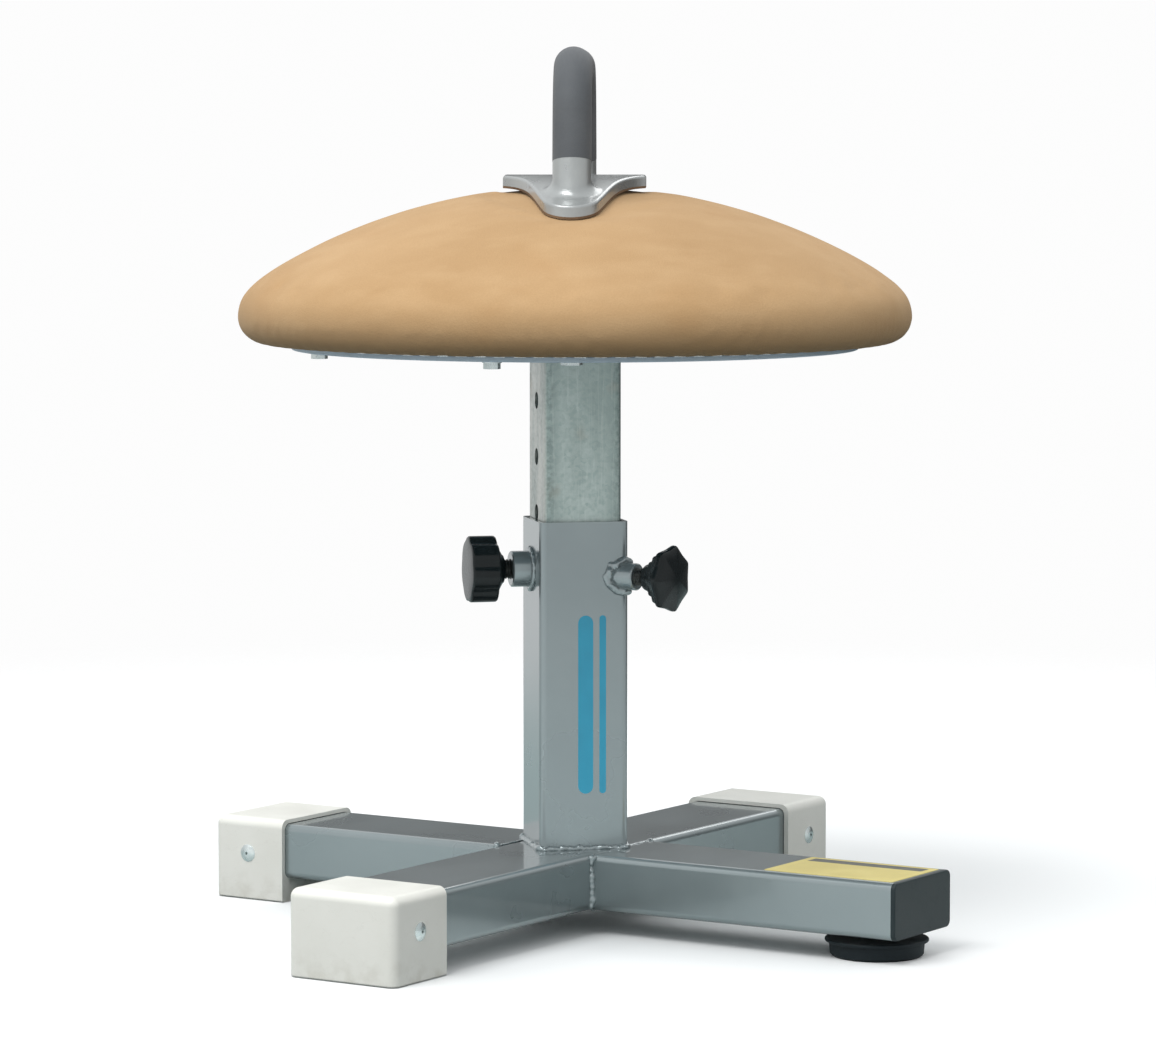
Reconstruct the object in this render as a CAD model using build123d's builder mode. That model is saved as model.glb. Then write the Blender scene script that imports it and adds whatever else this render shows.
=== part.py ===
"""Mushroom trainer with one pommel: a domed pad on a telescoping square post over a cross base.

The origin is on the floor under the column's axis. +X is to the right, -Y is the column's front
face and +Z is up. Everything is in millimetres. The four legs run along the diagonals.
"""
import os
from math import atan2, cos, degrees, hypot, radians, sin, sqrt, tan

from build123d import *

os.makedirs("parts", exist_ok=True)

# ---- Driving dimensions: base -------------------------------------------------------------
FRONT_LEFT, FRONT_RIGHT, REAR_LEFT, REAR_RIGHT = -135.0, -45.0, 135.0, 45.0   # leg directions, degrees
FOOT_REACH = 362.0            # axis to the outer end of a foot cap
PLUG_REACH = 355.0            # axis to the outer face of the end plug
LEG_WIDTH = 100.0
LEG_HEIGHT = 50.0
LEG_WALL = 3.0
LEG_ROUND = 6.0               # outer corner radius of the leg tube
GROUND_CLEARANCE = 22.0       # floor to the underside of the legs
LEG_TOP = GROUND_CLEARANCE + LEG_HEIGHT
WELD_ROOT = 0.05              # gap under a weld, between the two pieces that it joins

CAP_LENGTH = 77.0
CAP_WALL = 4.5
CAP_CLEARANCE = 0.5           # tube to the inside of the cap
CAP_ROUND = 8.0               # upper edges and outer corners
CAP_FOOT_ROUND = 2.0          # edges that meet the floor
RIVET_INSET = 38.0            # rivet to the cap's outer end
RIVET_HEIGHT = 43.0
RIVET_SHANK_RADIUS = 3.2
RIVET_HEAD_RADIUS = 8.0
RIVET_HEAD_HEIGHT = 2.4
MANDREL_RADIUS = 1.4

PLUG_FLANGE = 4.0
PLUG_DEPTH = 22.0
PLUG_WALL = 3.0
PLUG_CLEARANCE = 0.1

LABEL_LENGTH = 127.0
LABEL_WIDTH = 84.0
LABEL_THICKNESS = 0.3
LABEL_INSET = 3.0             # label to the end of the tube

# ---- Driving dimensions: levelling foot ---------------------------------------------------
LEVEL_INSET = 45.0            # foot's centre to the end plug's outer face
PAD_RADIUS_LOW = 40.5
PAD_RADIUS_HIGH = 41.5
PAD_RIM_RADIUS = 45.0
PAD_GAP = 6.5                 # top of the foot to the underside of the leg
PAD_RIM_THICKNESS = 3.0
STUD_RADIUS = 6.0
STUD_HEADROOM = 17.0          # stud's end to the top of the leg
STUD_FOOT_RADIUS = 12.0
STUD_FOOT_THICKNESS = 5.0
STUD_FOOT_LEVEL = 6.0
STUD_HEX = 19.0               # across flats of the turning collar
STUD_HEX_HEIGHT = 2.8
LEVEL_NUT_HEX = 18.0
LEVEL_NUT_HEIGHT = 10.0
TURNING_CLEARANCE = 0.3       # round a piece that swivels in another
THREAD_CLEARANCE = 0.05       # radial, between a screw and its thread

# ---- Driving dimensions: column and post --------------------------------------------------
COLUMN_SIZE = 80.0
COLUMN_WALL = 4.0
COLUMN_ROUND = 6.0
COLUMN_TOP = 364.0
SLIDE_CLEARANCE = 1.0         # column to post, each side
POST_WALL = 4.0
POST_ROUND = 6.0
TRAVEL_DOWN = 150.0           # how far the post goes down from here
END_CLEARANCE = 2.0           # left at the lowest position, at the leg and at the disc
POST_PLUG_FLANGE = 3.0
POST_PLUG_DEPTH = 20.0
HOLE_PITCH = 50.0
HOLES_ABOVE, HOLES_BELOW = 3, 1     # holes above and below the one at the lock screw
HOLE_RADIUS = 7.5

# ---- Driving dimensions: lock screw and clamp screw ---------------------------------------
LOCK_DROP = 44.0              # column top to the lock screw
LOCK_BOSS_RADIUS = 16.0
LOCK_BOSS_LENGTH = 19.0
LOCK_SCREW_RADIUS = 9.0
LOCK_PIN_RADIUS = 7.0
LOCK_PIN_LENGTH = 8.7
LOCK_THREAD_SHOWING = 6.4     # boss to knob, with the pin just clear of the post
CLAMP_DROP = 49.0             # column top to the clamp screw
CLAMP_BOSS_RADIUS = 12.0
CLAMP_BOSS_LENGTH = 11.92     # column's corner to the boss's outer end
CLAMP_SCREW_RADIUS = 8.0
CLAMP_PAD_RADIUS = 6.5
CLAMP_PAD_LENGTH = 5.5
CLAMP_THREAD_SHOWING = 9.0
PIN_GAP = 0.3                 # pin or pad to the post, at rest
SPIGOT_RADIUS = 3.5
SPIGOT_LENGTH = 6.0
KNOB_RADIUS = 30.0
KNOB_LOBES = 7
KNOB_LOBE_RADIUS = 8.6
KNOB_CORE_RADIUS = 24.5
KNOB_RIM_LENGTH = 26.0
KNOB_HUB_LENGTH = 7.0
KNOB_HUB_RADIUS = 13.0
KNOB_EDGE = 1.6
KNOB_VALLEY = 3.0
KNOB_SOCKET = 24.0            # depth of the screw in the knob
SOCKET_FIT = 0.05             # radial, round the screw in the knob and the rivets in their holes

# ---- Driving dimensions: padded body ------------------------------------------------------
BODY_RADIUS = 300.0
DOME_RADIUS = 520.0
EDGE_RADIUS = 36.0            # upper rounding of the rim
LOWER_EDGE_RADIUS = 23.66     # lower rounding of the rim
COVER_THICKNESS = 3.0
HEM_LAP = 12.0                # cover's turned-under hem, in from the disc's edge
BOARD_SETBACK = 28.0          # board's edge in from the body's rim
BOARD_THICKNESS = 18.0
BLOCK_END_MARGIN = 30.0       # pommel block beyond the pommel bolts
BLOCK_WIDTH = 84.0
BLOCK_COVER = 12.0            # dome surface to the pommel block
DISC_SETBACK = 48.0           # disc's edge in from the body's rim
DISC_THICKNESS = 5.0
DISC_BOLT_RADIUS = 4.0
DISC_BOLT_INSET = 22.0        # bolt to the disc's edge
DISC_BOLT_ANGLES = (180.0, 240.0, 0.0, 60.0)
DISC_BOLT_HEX = 13.0
DISC_BOLT_HEAD = 5.3
DISC_WASHER_RADIUS = 8.5
DISC_WASHER_THICKNESS = 1.6
TEE_NUT_BARREL = 5.5
TEE_NUT_FLANGE = 11.0
TEE_NUT_FLANGE_THICKNESS = 1.6
TEE_NUT_LENGTH = 11.0
BOLT_HOLE_CLEARANCE = 0.5

# ---- Driving dimensions: pommel -----------------------------------------------------------
POMMEL_ANGLE = -103.6         # direction of the arch's front leg, degrees
POMMEL_HEIGHT = 123.5         # crown of the dome to the top of the grip
GRIP_THICKNESS = 3.5
NECK_SHOWING = 26.2           # saddle's top to the lower end of the grip
CORE_RADIUS = 13.5
CORE_WALL = 3.0
NECK_STEP = 0.2               # grip's surface proud of the neck's
NECK_FLARE = 11.0             # fillet where a neck meets the saddle
NECK_REACH = 118.0            # arch centre to a neck, at the saddle's top
NECK_LEAN = 13.0              # degrees, towards the crown
ARCH_BEND = 52.0              # centreline radius of the two upper bends
SADDLE_THICKNESS = 9.0
SADDLE_EDGE = 2.5
SADDLE_OVERHANG = 42.5        # neck's centre to the saddle's end
NOSE_MARGIN = 8.2             # nose's radius beyond the neck's
SADDLE_TAPER = 17.0           # degrees between the saddle's edge and its length, at the nose
SADDLE_WING = 63.0            # half width across the wings
SADDLE_WING_FLAT = 26.0       # half length of a wing's straight tip
UNDERLAY_THICKNESS = 2.0
UNDERLAY_LIFT = 0.05
CORE_FOOT_RISE = 9.2          # saddle's top to the lower end of the core tube, in the neck's socket
CORE_CLEARANCE = 0.1
POMMEL_BOLT_RADIUS = 5.0
POMMEL_BOLT_RISE = 2.2        # saddle's top to the end of a pommel bolt
POMMEL_BOLT_HEX = 17.0
POMMEL_BOLT_HEAD = 6.4
POMMEL_WASHER_RADIUS = 15.0
POMMEL_WASHER_THICKNESS = 2.5

# ---- Worked-out places --------------------------------------------------------------------
COLUMN_HALF = COLUMN_SIZE / 2
COLUMN_BORE = COLUMN_SIZE - 2 * COLUMN_WALL
POST_SIZE = COLUMN_BORE - 2 * SLIDE_CLEARANCE
POST_HALF = POST_SIZE / 2
POST_CORNER = (POST_HALF - POST_ROUND) * sqrt(2) + POST_ROUND      # axis to the post's corner
COLUMN_CORNER = (COLUMN_HALF - COLUMN_ROUND) * sqrt(2) + COLUMN_ROUND    # axis to the column's corner
POST_BOTTOM = LEG_TOP + TRAVEL_DOWN + END_CLEARANCE + POST_PLUG_FLANGE
LOCK_LEVEL = COLUMN_TOP - LOCK_DROP
CLAMP_LEVEL = COLUMN_TOP - CLAMP_DROP
CLAMP_BOSS_END = COLUMN_CORNER + CLAMP_BOSS_LENGTH
LEVEL_REACH = PLUG_REACH - LEVEL_INSET
PAD_HEIGHT = GROUND_CLEARANCE - PAD_GAP
STUD_TOP = LEG_TOP - STUD_HEADROOM
DISC_BOTTOM = COLUMN_TOP + TRAVEL_DOWN + END_CLEARANCE
BODY_BOTTOM = DISC_BOTTOM + DISC_THICKNESS
BOARD_TOP = BODY_BOTTOM + BOARD_THICKNESS
DISC_RADIUS = BODY_RADIUS - DISC_SETBACK
BOARD_RADIUS = BODY_RADIUS - BOARD_SETBACK
HEM_RADIUS = DISC_RADIUS - HEM_LAP
DISC_BOLT_CIRCLE = DISC_RADIUS - DISC_BOLT_INSET
DISC_BOLT_HOLE = DISC_BOLT_RADIUS + BOLT_HOLE_CLEARANCE
RIM_LEVEL = BODY_BOTTOM + LOWER_EDGE_RADIUS
DOME_CENTRE = RIM_LEVEL - sqrt((DOME_RADIUS - EDGE_RADIUS) ** 2 - (BODY_RADIUS - EDGE_RADIUS) ** 2)
DOME_APEX = DOME_CENTRE + DOME_RADIUS
DOME_ANGLE = degrees(atan2(BODY_RADIUS - EDGE_RADIUS, RIM_LEVEL - DOME_CENTRE))
CAP_WIDTH = LEG_WIDTH + 2 * (CAP_CLEARANCE + CAP_WALL)
CAP_HEIGHT = LEG_TOP + CAP_CLEARANCE + CAP_WALL - 1.0
CAPPED_TUBE_REACH = FOOT_REACH - CAP_WALL - CAP_CLEARANCE
PLUGGED_TUBE_REACH = PLUG_REACH - PLUG_FLANGE
SADDLE_BOTTOM_RADIUS = DOME_RADIUS + UNDERLAY_LIFT + UNDERLAY_THICKNESS
SADDLE_TOP_RADIUS = SADDLE_BOTTOM_RADIUS + SADDLE_THICKNESS
NECK_FOOT = DOME_CENTRE + sqrt(SADDLE_TOP_RADIUS ** 2 - NECK_REACH ** 2)
GRIP_RADIUS = CORE_RADIUS + GRIP_THICKNESS
NECK_RADIUS = GRIP_RADIUS - NECK_STEP
SADDLE_HALF_LENGTH = NECK_REACH + SADDLE_OVERHANG
SADDLE_NOSE_RADIUS = NECK_RADIUS + NOSE_MARGIN
GRIP_END_LEVEL = NECK_FOOT + NECK_SHOWING
CORE_FOOT_LEVEL = NECK_FOOT + CORE_FOOT_RISE
POMMEL_BOLT_TOP = NECK_FOOT + POMMEL_BOLT_RISE
POMMEL_TOP = DOME_APEX + POMMEL_HEIGHT
CROWN_LEVEL = POMMEL_TOP - GRIP_RADIUS
CAPPED_LEGS = {"front_left": FRONT_LEFT, "rear_left": REAR_LEFT, "rear_right": REAR_RIGHT}


# ---- Planes and shared shapes -------------------------------------------------------------
def leg_plane(angle, reach, height):
    """Upright plane across a leg: x to the leg's left, y up, normal out along the leg."""
    along = Vector(cos(radians(angle)), sin(radians(angle)), 0)
    return Plane(along * reach + Vector(0, 0, height), x_dir=(-along.Y, along.X, 0), z_dir=along)


def leg_axis(angle):
    """Line through the origin, outwards along a leg."""
    return Axis((0, 0, 0), (cos(radians(angle)), sin(radians(angle)), 0))


def rivet_planes(angle):
    """A plane on each side face of one leg's cap, at the rivet, with its normal outwards."""
    planes = []
    for side in (90.0, -90.0):
        along = leg_plane(angle, FOOT_REACH - RIVET_INSET, RIVET_HEIGHT)
        across = Vector(cos(radians(angle + side)), sin(radians(angle + side)), 0)
        planes.append(Plane(along.origin + across * (CAP_WIDTH / 2), x_dir=(0, 0, 1), z_dir=across))
    return planes


def round_bar(plane, radius, start, end, mode=Mode.ADD):
    """Cylinder along the plane's normal, from start to end, in the part being built."""
    with BuildSketch(plane.offset(start)) as disc:
        Circle(radius)
    extrude(disc.sketch, amount=end - start, mode=mode)


def hex_bar(plane, across_flats, start, end):
    """Hexagonal bar along the plane's normal, from start to end, in the part being built."""
    with BuildSketch(plane.offset(start)) as hexagon:
        RegularPolygon(across_flats / 2, 6, major_radius=False)
    extrude(hexagon.sketch, amount=end - start)


def square_tube(plane, width, height, corner, wall, length):
    """Rounded rectangular tube along the plane's normal, in the part being built."""
    with BuildSketch(plane) as section:
        RectangleRounded(width, height, corner)
        inner = max(corner - wall, 1.0)
        RectangleRounded(width - 2 * wall, height - 2 * wall, inner, mode=Mode.SUBTRACT)
    extrude(section.sketch, amount=length)


def left_face_plane(level):
    """Plane through the column's axis with its normal out of the left face, at this level."""
    return Plane((0, 0, level), x_dir=(0, 0, 1), z_dir=(-1, 0, 0))


lock_plane = left_face_plane(LOCK_LEVEL)
clamp_plane = Plane(leg_plane(FRONT_RIGHT, 0, CLAMP_LEVEL).origin, x_dir=(0, 0, 1), z_dir=(1, -1, 0))
level_plane = Plane(leg_plane(FRONT_RIGHT, LEVEL_REACH, 0).origin, z_dir=(0, 0, 1))
POMMEL_ALONG = (cos(radians(POMMEL_ANGLE)), sin(radians(POMMEL_ANGLE)), 0)
pommel_plan = Plane((0, 0, 0), x_dir=POMMEL_ALONG, z_dir=(0, 0, 1))
pommel_side = Plane((0, 0, 0), x_dir=POMMEL_ALONG, z_dir=(POMMEL_ALONG[1], -POMMEL_ALONG[0], 0))


# ---- Base: leg tubes ----------------------------------------------------------------------
def cut_rivet_holes(angle):
    """Holes through a cap's side walls and the tube inside it."""
    for plane in rivet_planes(angle):
        depth = CAP_WALL + CAP_CLEARANCE + 2 * LEG_WALL
        round_bar(plane, RIVET_SHANK_RADIUS + SOCKET_FIT, -depth, 1.0, Mode.SUBTRACT)


leg_middle = GROUND_CLEARANCE + LEG_HEIGHT / 2
with BuildPart() as cross_beam:
    square_tube(
        leg_plane(FRONT_LEFT, -CAPPED_TUBE_REACH, leg_middle),
        LEG_WIDTH, LEG_HEIGHT, LEG_ROUND, LEG_WALL, 2 * CAPPED_TUBE_REACH,
    )
    cut_rivet_holes(FRONT_LEFT)
    cut_rivet_holes(REAR_RIGHT)
cross_beam.part.label = "cross_beam"
export_step(cross_beam.part, "parts/cross_beam.step")

stub_start = LEG_WIDTH / 2 + WELD_ROOT
with BuildPart() as beam_stub_rear:
    square_tube(
        leg_plane(REAR_LEFT, stub_start, leg_middle),
        LEG_WIDTH, LEG_HEIGHT, LEG_ROUND, LEG_WALL, CAPPED_TUBE_REACH - stub_start,
    )
    cut_rivet_holes(REAR_LEFT)
beam_stub_rear.part.label = "beam_stub_rear"
export_step(beam_stub_rear.part, "parts/beam_stub_rear.step")

with BuildPart() as beam_stub_front:
    square_tube(
        leg_plane(FRONT_RIGHT, stub_start, leg_middle),
        LEG_WIDTH, LEG_HEIGHT, LEG_ROUND, LEG_WALL, PLUGGED_TUBE_REACH - stub_start,
    )
    stud_hole = STUD_RADIUS + BOLT_HOLE_CLEARANCE
    round_bar(level_plane, stud_hole, GROUND_CLEARANCE - 1, GROUND_CLEARANCE + 2 * LEG_WALL, Mode.SUBTRACT)
beam_stub_front.part.label = "beam_stub_front"
export_step(beam_stub_front.part, "parts/beam_stub_front.step")


# ---- Base: foot caps and their rivets -----------------------------------------------------
def build_foot_cap(angle):
    """Moulded cap over a tube's end: a thick foot under the tube and a pocket open inwards."""
    outwards = leg_axis(angle)
    with BuildPart() as foot_cap:
        with BuildSketch(leg_plane(angle, FOOT_REACH - CAP_LENGTH, CAP_HEIGHT / 2)):
            Rectangle(CAP_WIDTH, CAP_HEIGHT)
        extrude(amount=CAP_LENGTH)
        fillet(foot_cap.edges().filter_by(Axis.Z).sort_by(outwards)[-2:], CAP_ROUND)
        fillet(foot_cap.faces().sort_by(Axis.Z)[-1].edges().sort_by(outwards)[1:], CAP_ROUND)
        fillet(foot_cap.faces().sort_by(Axis.Z)[0].edges().sort_by(outwards)[1:], CAP_FOOT_ROUND)
        pocket_height = LEG_HEIGHT + CAP_CLEARANCE
        with BuildSketch(leg_plane(angle, FOOT_REACH - CAP_LENGTH, GROUND_CLEARANCE + pocket_height / 2)):
            RectangleRounded(LEG_WIDTH + 2 * CAP_CLEARANCE, pocket_height, LEG_ROUND + CAP_CLEARANCE)
        extrude(amount=CAP_LENGTH - CAP_WALL, mode=Mode.SUBTRACT)
        cut_rivet_holes(angle)
    return foot_cap.part


for leg, leg_angle in CAPPED_LEGS.items():
    foot_cap_part = build_foot_cap(leg_angle)
    foot_cap_part.label = f"foot_cap_{leg}"
    export_step(foot_cap_part, f"parts/foot_cap_{leg}.step")

with BuildPart() as rivet:
    grip_depth = CAP_WALL + CAP_CLEARANCE + LEG_WALL
    bulb_radius = RIVET_SHANK_RADIUS + 1.4
    with BuildSketch(Plane.XZ):
        with BuildLine():
            ThreePointArc(
                (RIVET_HEAD_RADIUS, 0.3),
                (RIVET_HEAD_RADIUS * 0.62, RIVET_HEAD_HEIGHT * 0.78),
                (MANDREL_RADIUS, RIVET_HEAD_HEIGHT),
            )
            Polyline(
                (MANDREL_RADIUS, RIVET_HEAD_HEIGHT), (MANDREL_RADIUS, -1.0), (0, -1.0),
                (0, -grip_depth - 6), (bulb_radius, -grip_depth - 4), (bulb_radius, -grip_depth - 1),
                (RIVET_SHANK_RADIUS, -grip_depth), (RIVET_SHANK_RADIUS, 0), (RIVET_HEAD_RADIUS, 0),
                (RIVET_HEAD_RADIUS, 0.3),
            )
        make_face()
    revolve(axis=Axis.Z)

with BuildPart() as cap_rivets:
    with Locations(*[plane for angle in CAPPED_LEGS.values() for plane in rivet_planes(angle)]):
        add(rivet.part)
cap_rivets.part.label = "cap_rivets"
export_step(cap_rivets.part, "parts/cap_rivets.step")

# ---- Base: end plug and label -------------------------------------------------------------
with BuildPart() as end_plug:
    with BuildSketch(leg_plane(FRONT_RIGHT, PLUGGED_TUBE_REACH, leg_middle)):
        RectangleRounded(LEG_WIDTH, LEG_HEIGHT, LEG_ROUND)
    extrude(amount=PLUG_FLANGE)
    fillet(end_plug.faces().sort_by(leg_axis(FRONT_RIGHT))[-1].edges(), PLUG_FLANGE * 0.4)
    plug_width = LEG_WIDTH - 2 * (LEG_WALL + PLUG_CLEARANCE)
    plug_height = LEG_HEIGHT - 2 * (LEG_WALL + PLUG_CLEARANCE)
    square_tube(
        leg_plane(FRONT_RIGHT, PLUGGED_TUBE_REACH - PLUG_DEPTH, leg_middle),
        plug_width, plug_height, LEG_ROUND - LEG_WALL, PLUG_WALL, PLUG_DEPTH,
    )
end_plug.part.label = "end_plug"
export_step(end_plug.part, "parts/end_plug.step")

label_middle = PLUGGED_TUBE_REACH - LABEL_INSET - LABEL_LENGTH / 2
with BuildPart() as leg_label:
    with BuildSketch(Plane(leg_plane(FRONT_RIGHT, label_middle, LEG_TOP).origin, x_dir=(1, -1, 0))):
        RectangleRounded(LABEL_LENGTH, LABEL_WIDTH, 2.0)
    extrude(amount=LABEL_THICKNESS)
leg_label.part.label = "leg_label"
export_step(leg_label.part, "parts/leg_label.step")

# ---- Levelling foot -----------------------------------------------------------------------
with BuildPart() as levelling_nut:
    nut_bottom = GROUND_CLEARANCE + LEG_WALL
    hex_bar(level_plane, LEVEL_NUT_HEX, nut_bottom, nut_bottom + LEVEL_NUT_HEIGHT)
    nut_bore = STUD_RADIUS + THREAD_CLEARANCE
    round_bar(level_plane, nut_bore, nut_bottom - 1, nut_bottom + LEVEL_NUT_HEIGHT + 1, Mode.SUBTRACT)
levelling_nut.part.label = "levelling_nut"
export_step(levelling_nut.part, "parts/levelling_nut.step")

socket_floor = STUD_FOOT_LEVEL
socket_roof = STUD_FOOT_LEVEL + STUD_FOOT_THICKNESS + 2 * THREAD_CLEARANCE
with BuildPart() as levelling_pad:
    with BuildSketch(level_plane):
        Circle(PAD_RADIUS_LOW)
    with BuildSketch(level_plane.offset(PAD_HEIGHT - PAD_RIM_THICKNESS)):
        Circle(PAD_RADIUS_HIGH)
    loft()
    chamfer(levelling_pad.faces().sort_by(Axis.Z)[0].edges(), 2.0)
    round_bar(level_plane, PAD_RIM_RADIUS, PAD_HEIGHT - PAD_RIM_THICKNESS, PAD_HEIGHT)
    fillet(levelling_pad.edges().filter_by(GeomType.CIRCLE).sort_by(SortBy.RADIUS)[-2:], 1.2)
    round_bar(level_plane, STUD_FOOT_RADIUS + TURNING_CLEARANCE, socket_floor, socket_roof, Mode.SUBTRACT)
    round_bar(level_plane, STUD_RADIUS + TURNING_CLEARANCE, socket_roof, PAD_HEIGHT + 1, Mode.SUBTRACT)
levelling_pad.part.label = "levelling_pad"
export_step(levelling_pad.part, "parts/levelling_pad.step")

with BuildPart() as levelling_stud:
    foot_bottom = socket_floor + THREAD_CLEARANCE
    round_bar(level_plane, STUD_FOOT_RADIUS, foot_bottom, foot_bottom + STUD_FOOT_THICKNESS)
    round_bar(level_plane, STUD_RADIUS, foot_bottom, STUD_TOP)
    hex_start = PAD_HEIGHT + THREAD_CLEARANCE
    hex_bar(level_plane, STUD_HEX, hex_start, hex_start + STUD_HEX_HEIGHT)
    chamfer(levelling_stud.faces().sort_by(Axis.Z)[-1].edges(), 1.0)
levelling_stud.part.label = "levelling_stud"
export_step(levelling_stud.part, "parts/levelling_stud.step")

# ---- Column and its welded bosses ---------------------------------------------------------
with BuildPart() as column:
    column_length = COLUMN_TOP - LEG_TOP - WELD_ROOT
    square_tube(
        Plane.XY.offset(LEG_TOP + WELD_ROOT),
        COLUMN_SIZE, COLUMN_SIZE, COLUMN_ROUND, COLUMN_WALL, column_length,
    )
    lock_hole = LOCK_SCREW_RADIUS + BOLT_HOLE_CLEARANCE
    round_bar(lock_plane, lock_hole, COLUMN_HALF - 2 * COLUMN_WALL, COLUMN_HALF + 1, Mode.SUBTRACT)
    clamp_hole = CLAMP_SCREW_RADIUS + BOLT_HOLE_CLEARANCE
    round_bar(clamp_plane, clamp_hole, COLUMN_HALF, COLUMN_HALF * sqrt(2) + 1, Mode.SUBTRACT)
column.part.label = "column"
export_step(column.part, "parts/column.step")

lock_boss_end = COLUMN_HALF + LOCK_BOSS_LENGTH
with BuildPart() as lock_boss:
    round_bar(lock_plane, LOCK_BOSS_RADIUS, COLUMN_HALF + WELD_ROOT, lock_boss_end)
    chamfer(lock_boss.faces().sort_by(Axis.X)[0].edges(), 1.0)
    lock_bore = LOCK_SCREW_RADIUS + THREAD_CLEARANCE
    round_bar(lock_plane, lock_bore, COLUMN_HALF - 1, lock_boss_end + 1, Mode.SUBTRACT)
lock_boss.part.label = "lock_boss"
export_step(lock_boss.part, "parts/lock_boss.step")

with BuildPart() as clamp_boss:
    round_bar(clamp_plane, CLAMP_BOSS_RADIUS, COLUMN_HALF, CLAMP_BOSS_END)
    chamfer(clamp_boss.faces().sort_by(leg_axis(FRONT_RIGHT))[-1].edges(), 1.0)
    with BuildSketch(Plane.XY.offset(CLAMP_LEVEL - 2 * CLAMP_BOSS_RADIUS)):
        RectangleRounded(COLUMN_SIZE + 2 * WELD_ROOT, COLUMN_SIZE + 2 * WELD_ROOT, COLUMN_ROUND)
    extrude(amount=4 * CLAMP_BOSS_RADIUS, mode=Mode.SUBTRACT)
    clamp_bore = CLAMP_SCREW_RADIUS + THREAD_CLEARANCE
    round_bar(clamp_plane, clamp_bore, COLUMN_HALF - 1, CLAMP_BOSS_END + 1, Mode.SUBTRACT)
clamp_boss.part.label = "clamp_boss"
export_step(clamp_boss.part, "parts/clamp_boss.step")


# ---- Lock screw and clamp screw -----------------------------------------------------------
def build_tip(plane, radius, start, length):
    """Tip that doesn't turn: a round nose, and a spigot that swivels in the screw's end."""
    with BuildPart() as tip:
        round_bar(plane, radius, start, start + length)
        chamfer(tip.edges(), 0.6)
        round_bar(plane, SPIGOT_RADIUS, start + length - 1, start + length + SPIGOT_LENGTH)
    return tip.part


def build_screw(plane, radius, start, end):
    """Screw from the tip to the bottom of the knob's socket."""
    with BuildPart() as screw:
        round_bar(plane, radius, start, end)
        chamfer(screw.edges(), 0.8)
        bore = SPIGOT_RADIUS + THREAD_CLEARANCE
        round_bar(plane, bore, start - 1, start + SPIGOT_LENGTH + TURNING_CLEARANCE, Mode.SUBTRACT)
    return screw.part


def build_knob(plane, screw_radius, start):
    """Star knob: a fluted rim in front of a tapered hub, with a socket for the screw."""
    rim_start = start + KNOB_HUB_LENGTH
    with BuildPart() as knob:
        with BuildSketch(plane.offset(rim_start)) as star:
            Circle(KNOB_CORE_RADIUS)
            with PolarLocations(KNOB_RADIUS - KNOB_LOBE_RADIUS, KNOB_LOBES):
                Circle(KNOB_LOBE_RADIUS)
            fillet(star.vertices(), KNOB_VALLEY)
        extrude(amount=KNOB_RIM_LENGTH)
        fillet(knob.edges().group_by(Axis(plane.origin, plane.z_dir))[-1], KNOB_EDGE)
        with BuildSketch(plane.offset(start)):
            Circle(KNOB_HUB_RADIUS)
        with BuildSketch(plane.offset(rim_start)):
            Circle(KNOB_CORE_RADIUS - 1.5)
        loft()
        round_bar(plane, screw_radius + SOCKET_FIT, start - 1, start + KNOB_SOCKET, Mode.SUBTRACT)
    return knob.part


lock_pin_start = POST_HALF + PIN_GAP
lock_screw_start = lock_pin_start + LOCK_PIN_LENGTH + THREAD_CLEARANCE
lock_knob_start = lock_boss_end + LOCK_THREAD_SHOWING
lock_pin = build_tip(lock_plane, LOCK_PIN_RADIUS, lock_pin_start, LOCK_PIN_LENGTH)
lock_pin.label = "lock_pin"
export_step(lock_pin, "parts/lock_pin.step")
lock_screw = build_screw(lock_plane, LOCK_SCREW_RADIUS, lock_screw_start, lock_knob_start + KNOB_SOCKET)
lock_screw.label = "lock_screw"
export_step(lock_screw, "parts/lock_screw.step")
lock_knob = build_knob(lock_plane, LOCK_SCREW_RADIUS, lock_knob_start)
lock_knob.label = "lock_knob"
export_step(lock_knob, "parts/lock_knob.step")

clamp_pad_start = POST_CORNER + PIN_GAP
clamp_screw_start = clamp_pad_start + CLAMP_PAD_LENGTH + THREAD_CLEARANCE
clamp_knob_start = CLAMP_BOSS_END + CLAMP_THREAD_SHOWING
clamp_pad = build_tip(clamp_plane, CLAMP_PAD_RADIUS, clamp_pad_start, CLAMP_PAD_LENGTH)
clamp_pad.label = "clamp_pad"
export_step(clamp_pad, "parts/clamp_pad.step")
clamp_screw = build_screw(clamp_plane, CLAMP_SCREW_RADIUS, clamp_screw_start, clamp_knob_start + KNOB_SOCKET)
clamp_screw.label = "clamp_screw"
export_step(clamp_screw, "parts/clamp_screw.step")
clamp_knob = build_knob(clamp_plane, CLAMP_SCREW_RADIUS, clamp_knob_start)
clamp_knob.label = "clamp_knob"
export_step(clamp_knob, "parts/clamp_knob.step")

# ---- Post and its plug --------------------------------------------------------------------
with BuildPart() as post:
    post_length = DISC_BOTTOM - WELD_ROOT - POST_BOTTOM
    square_tube(Plane.XY.offset(POST_BOTTOM), POST_SIZE, POST_SIZE, POST_ROUND, POST_WALL, post_length)
    for step in range(-HOLES_BELOW, HOLES_ABOVE + 1):
        hole_plane = left_face_plane(LOCK_LEVEL + step * HOLE_PITCH)
        round_bar(hole_plane, HOLE_RADIUS, POST_HALF - 2 * POST_WALL, POST_HALF + 1, Mode.SUBTRACT)
post.part.label = "post"
export_step(post.part, "parts/post.step")

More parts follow.
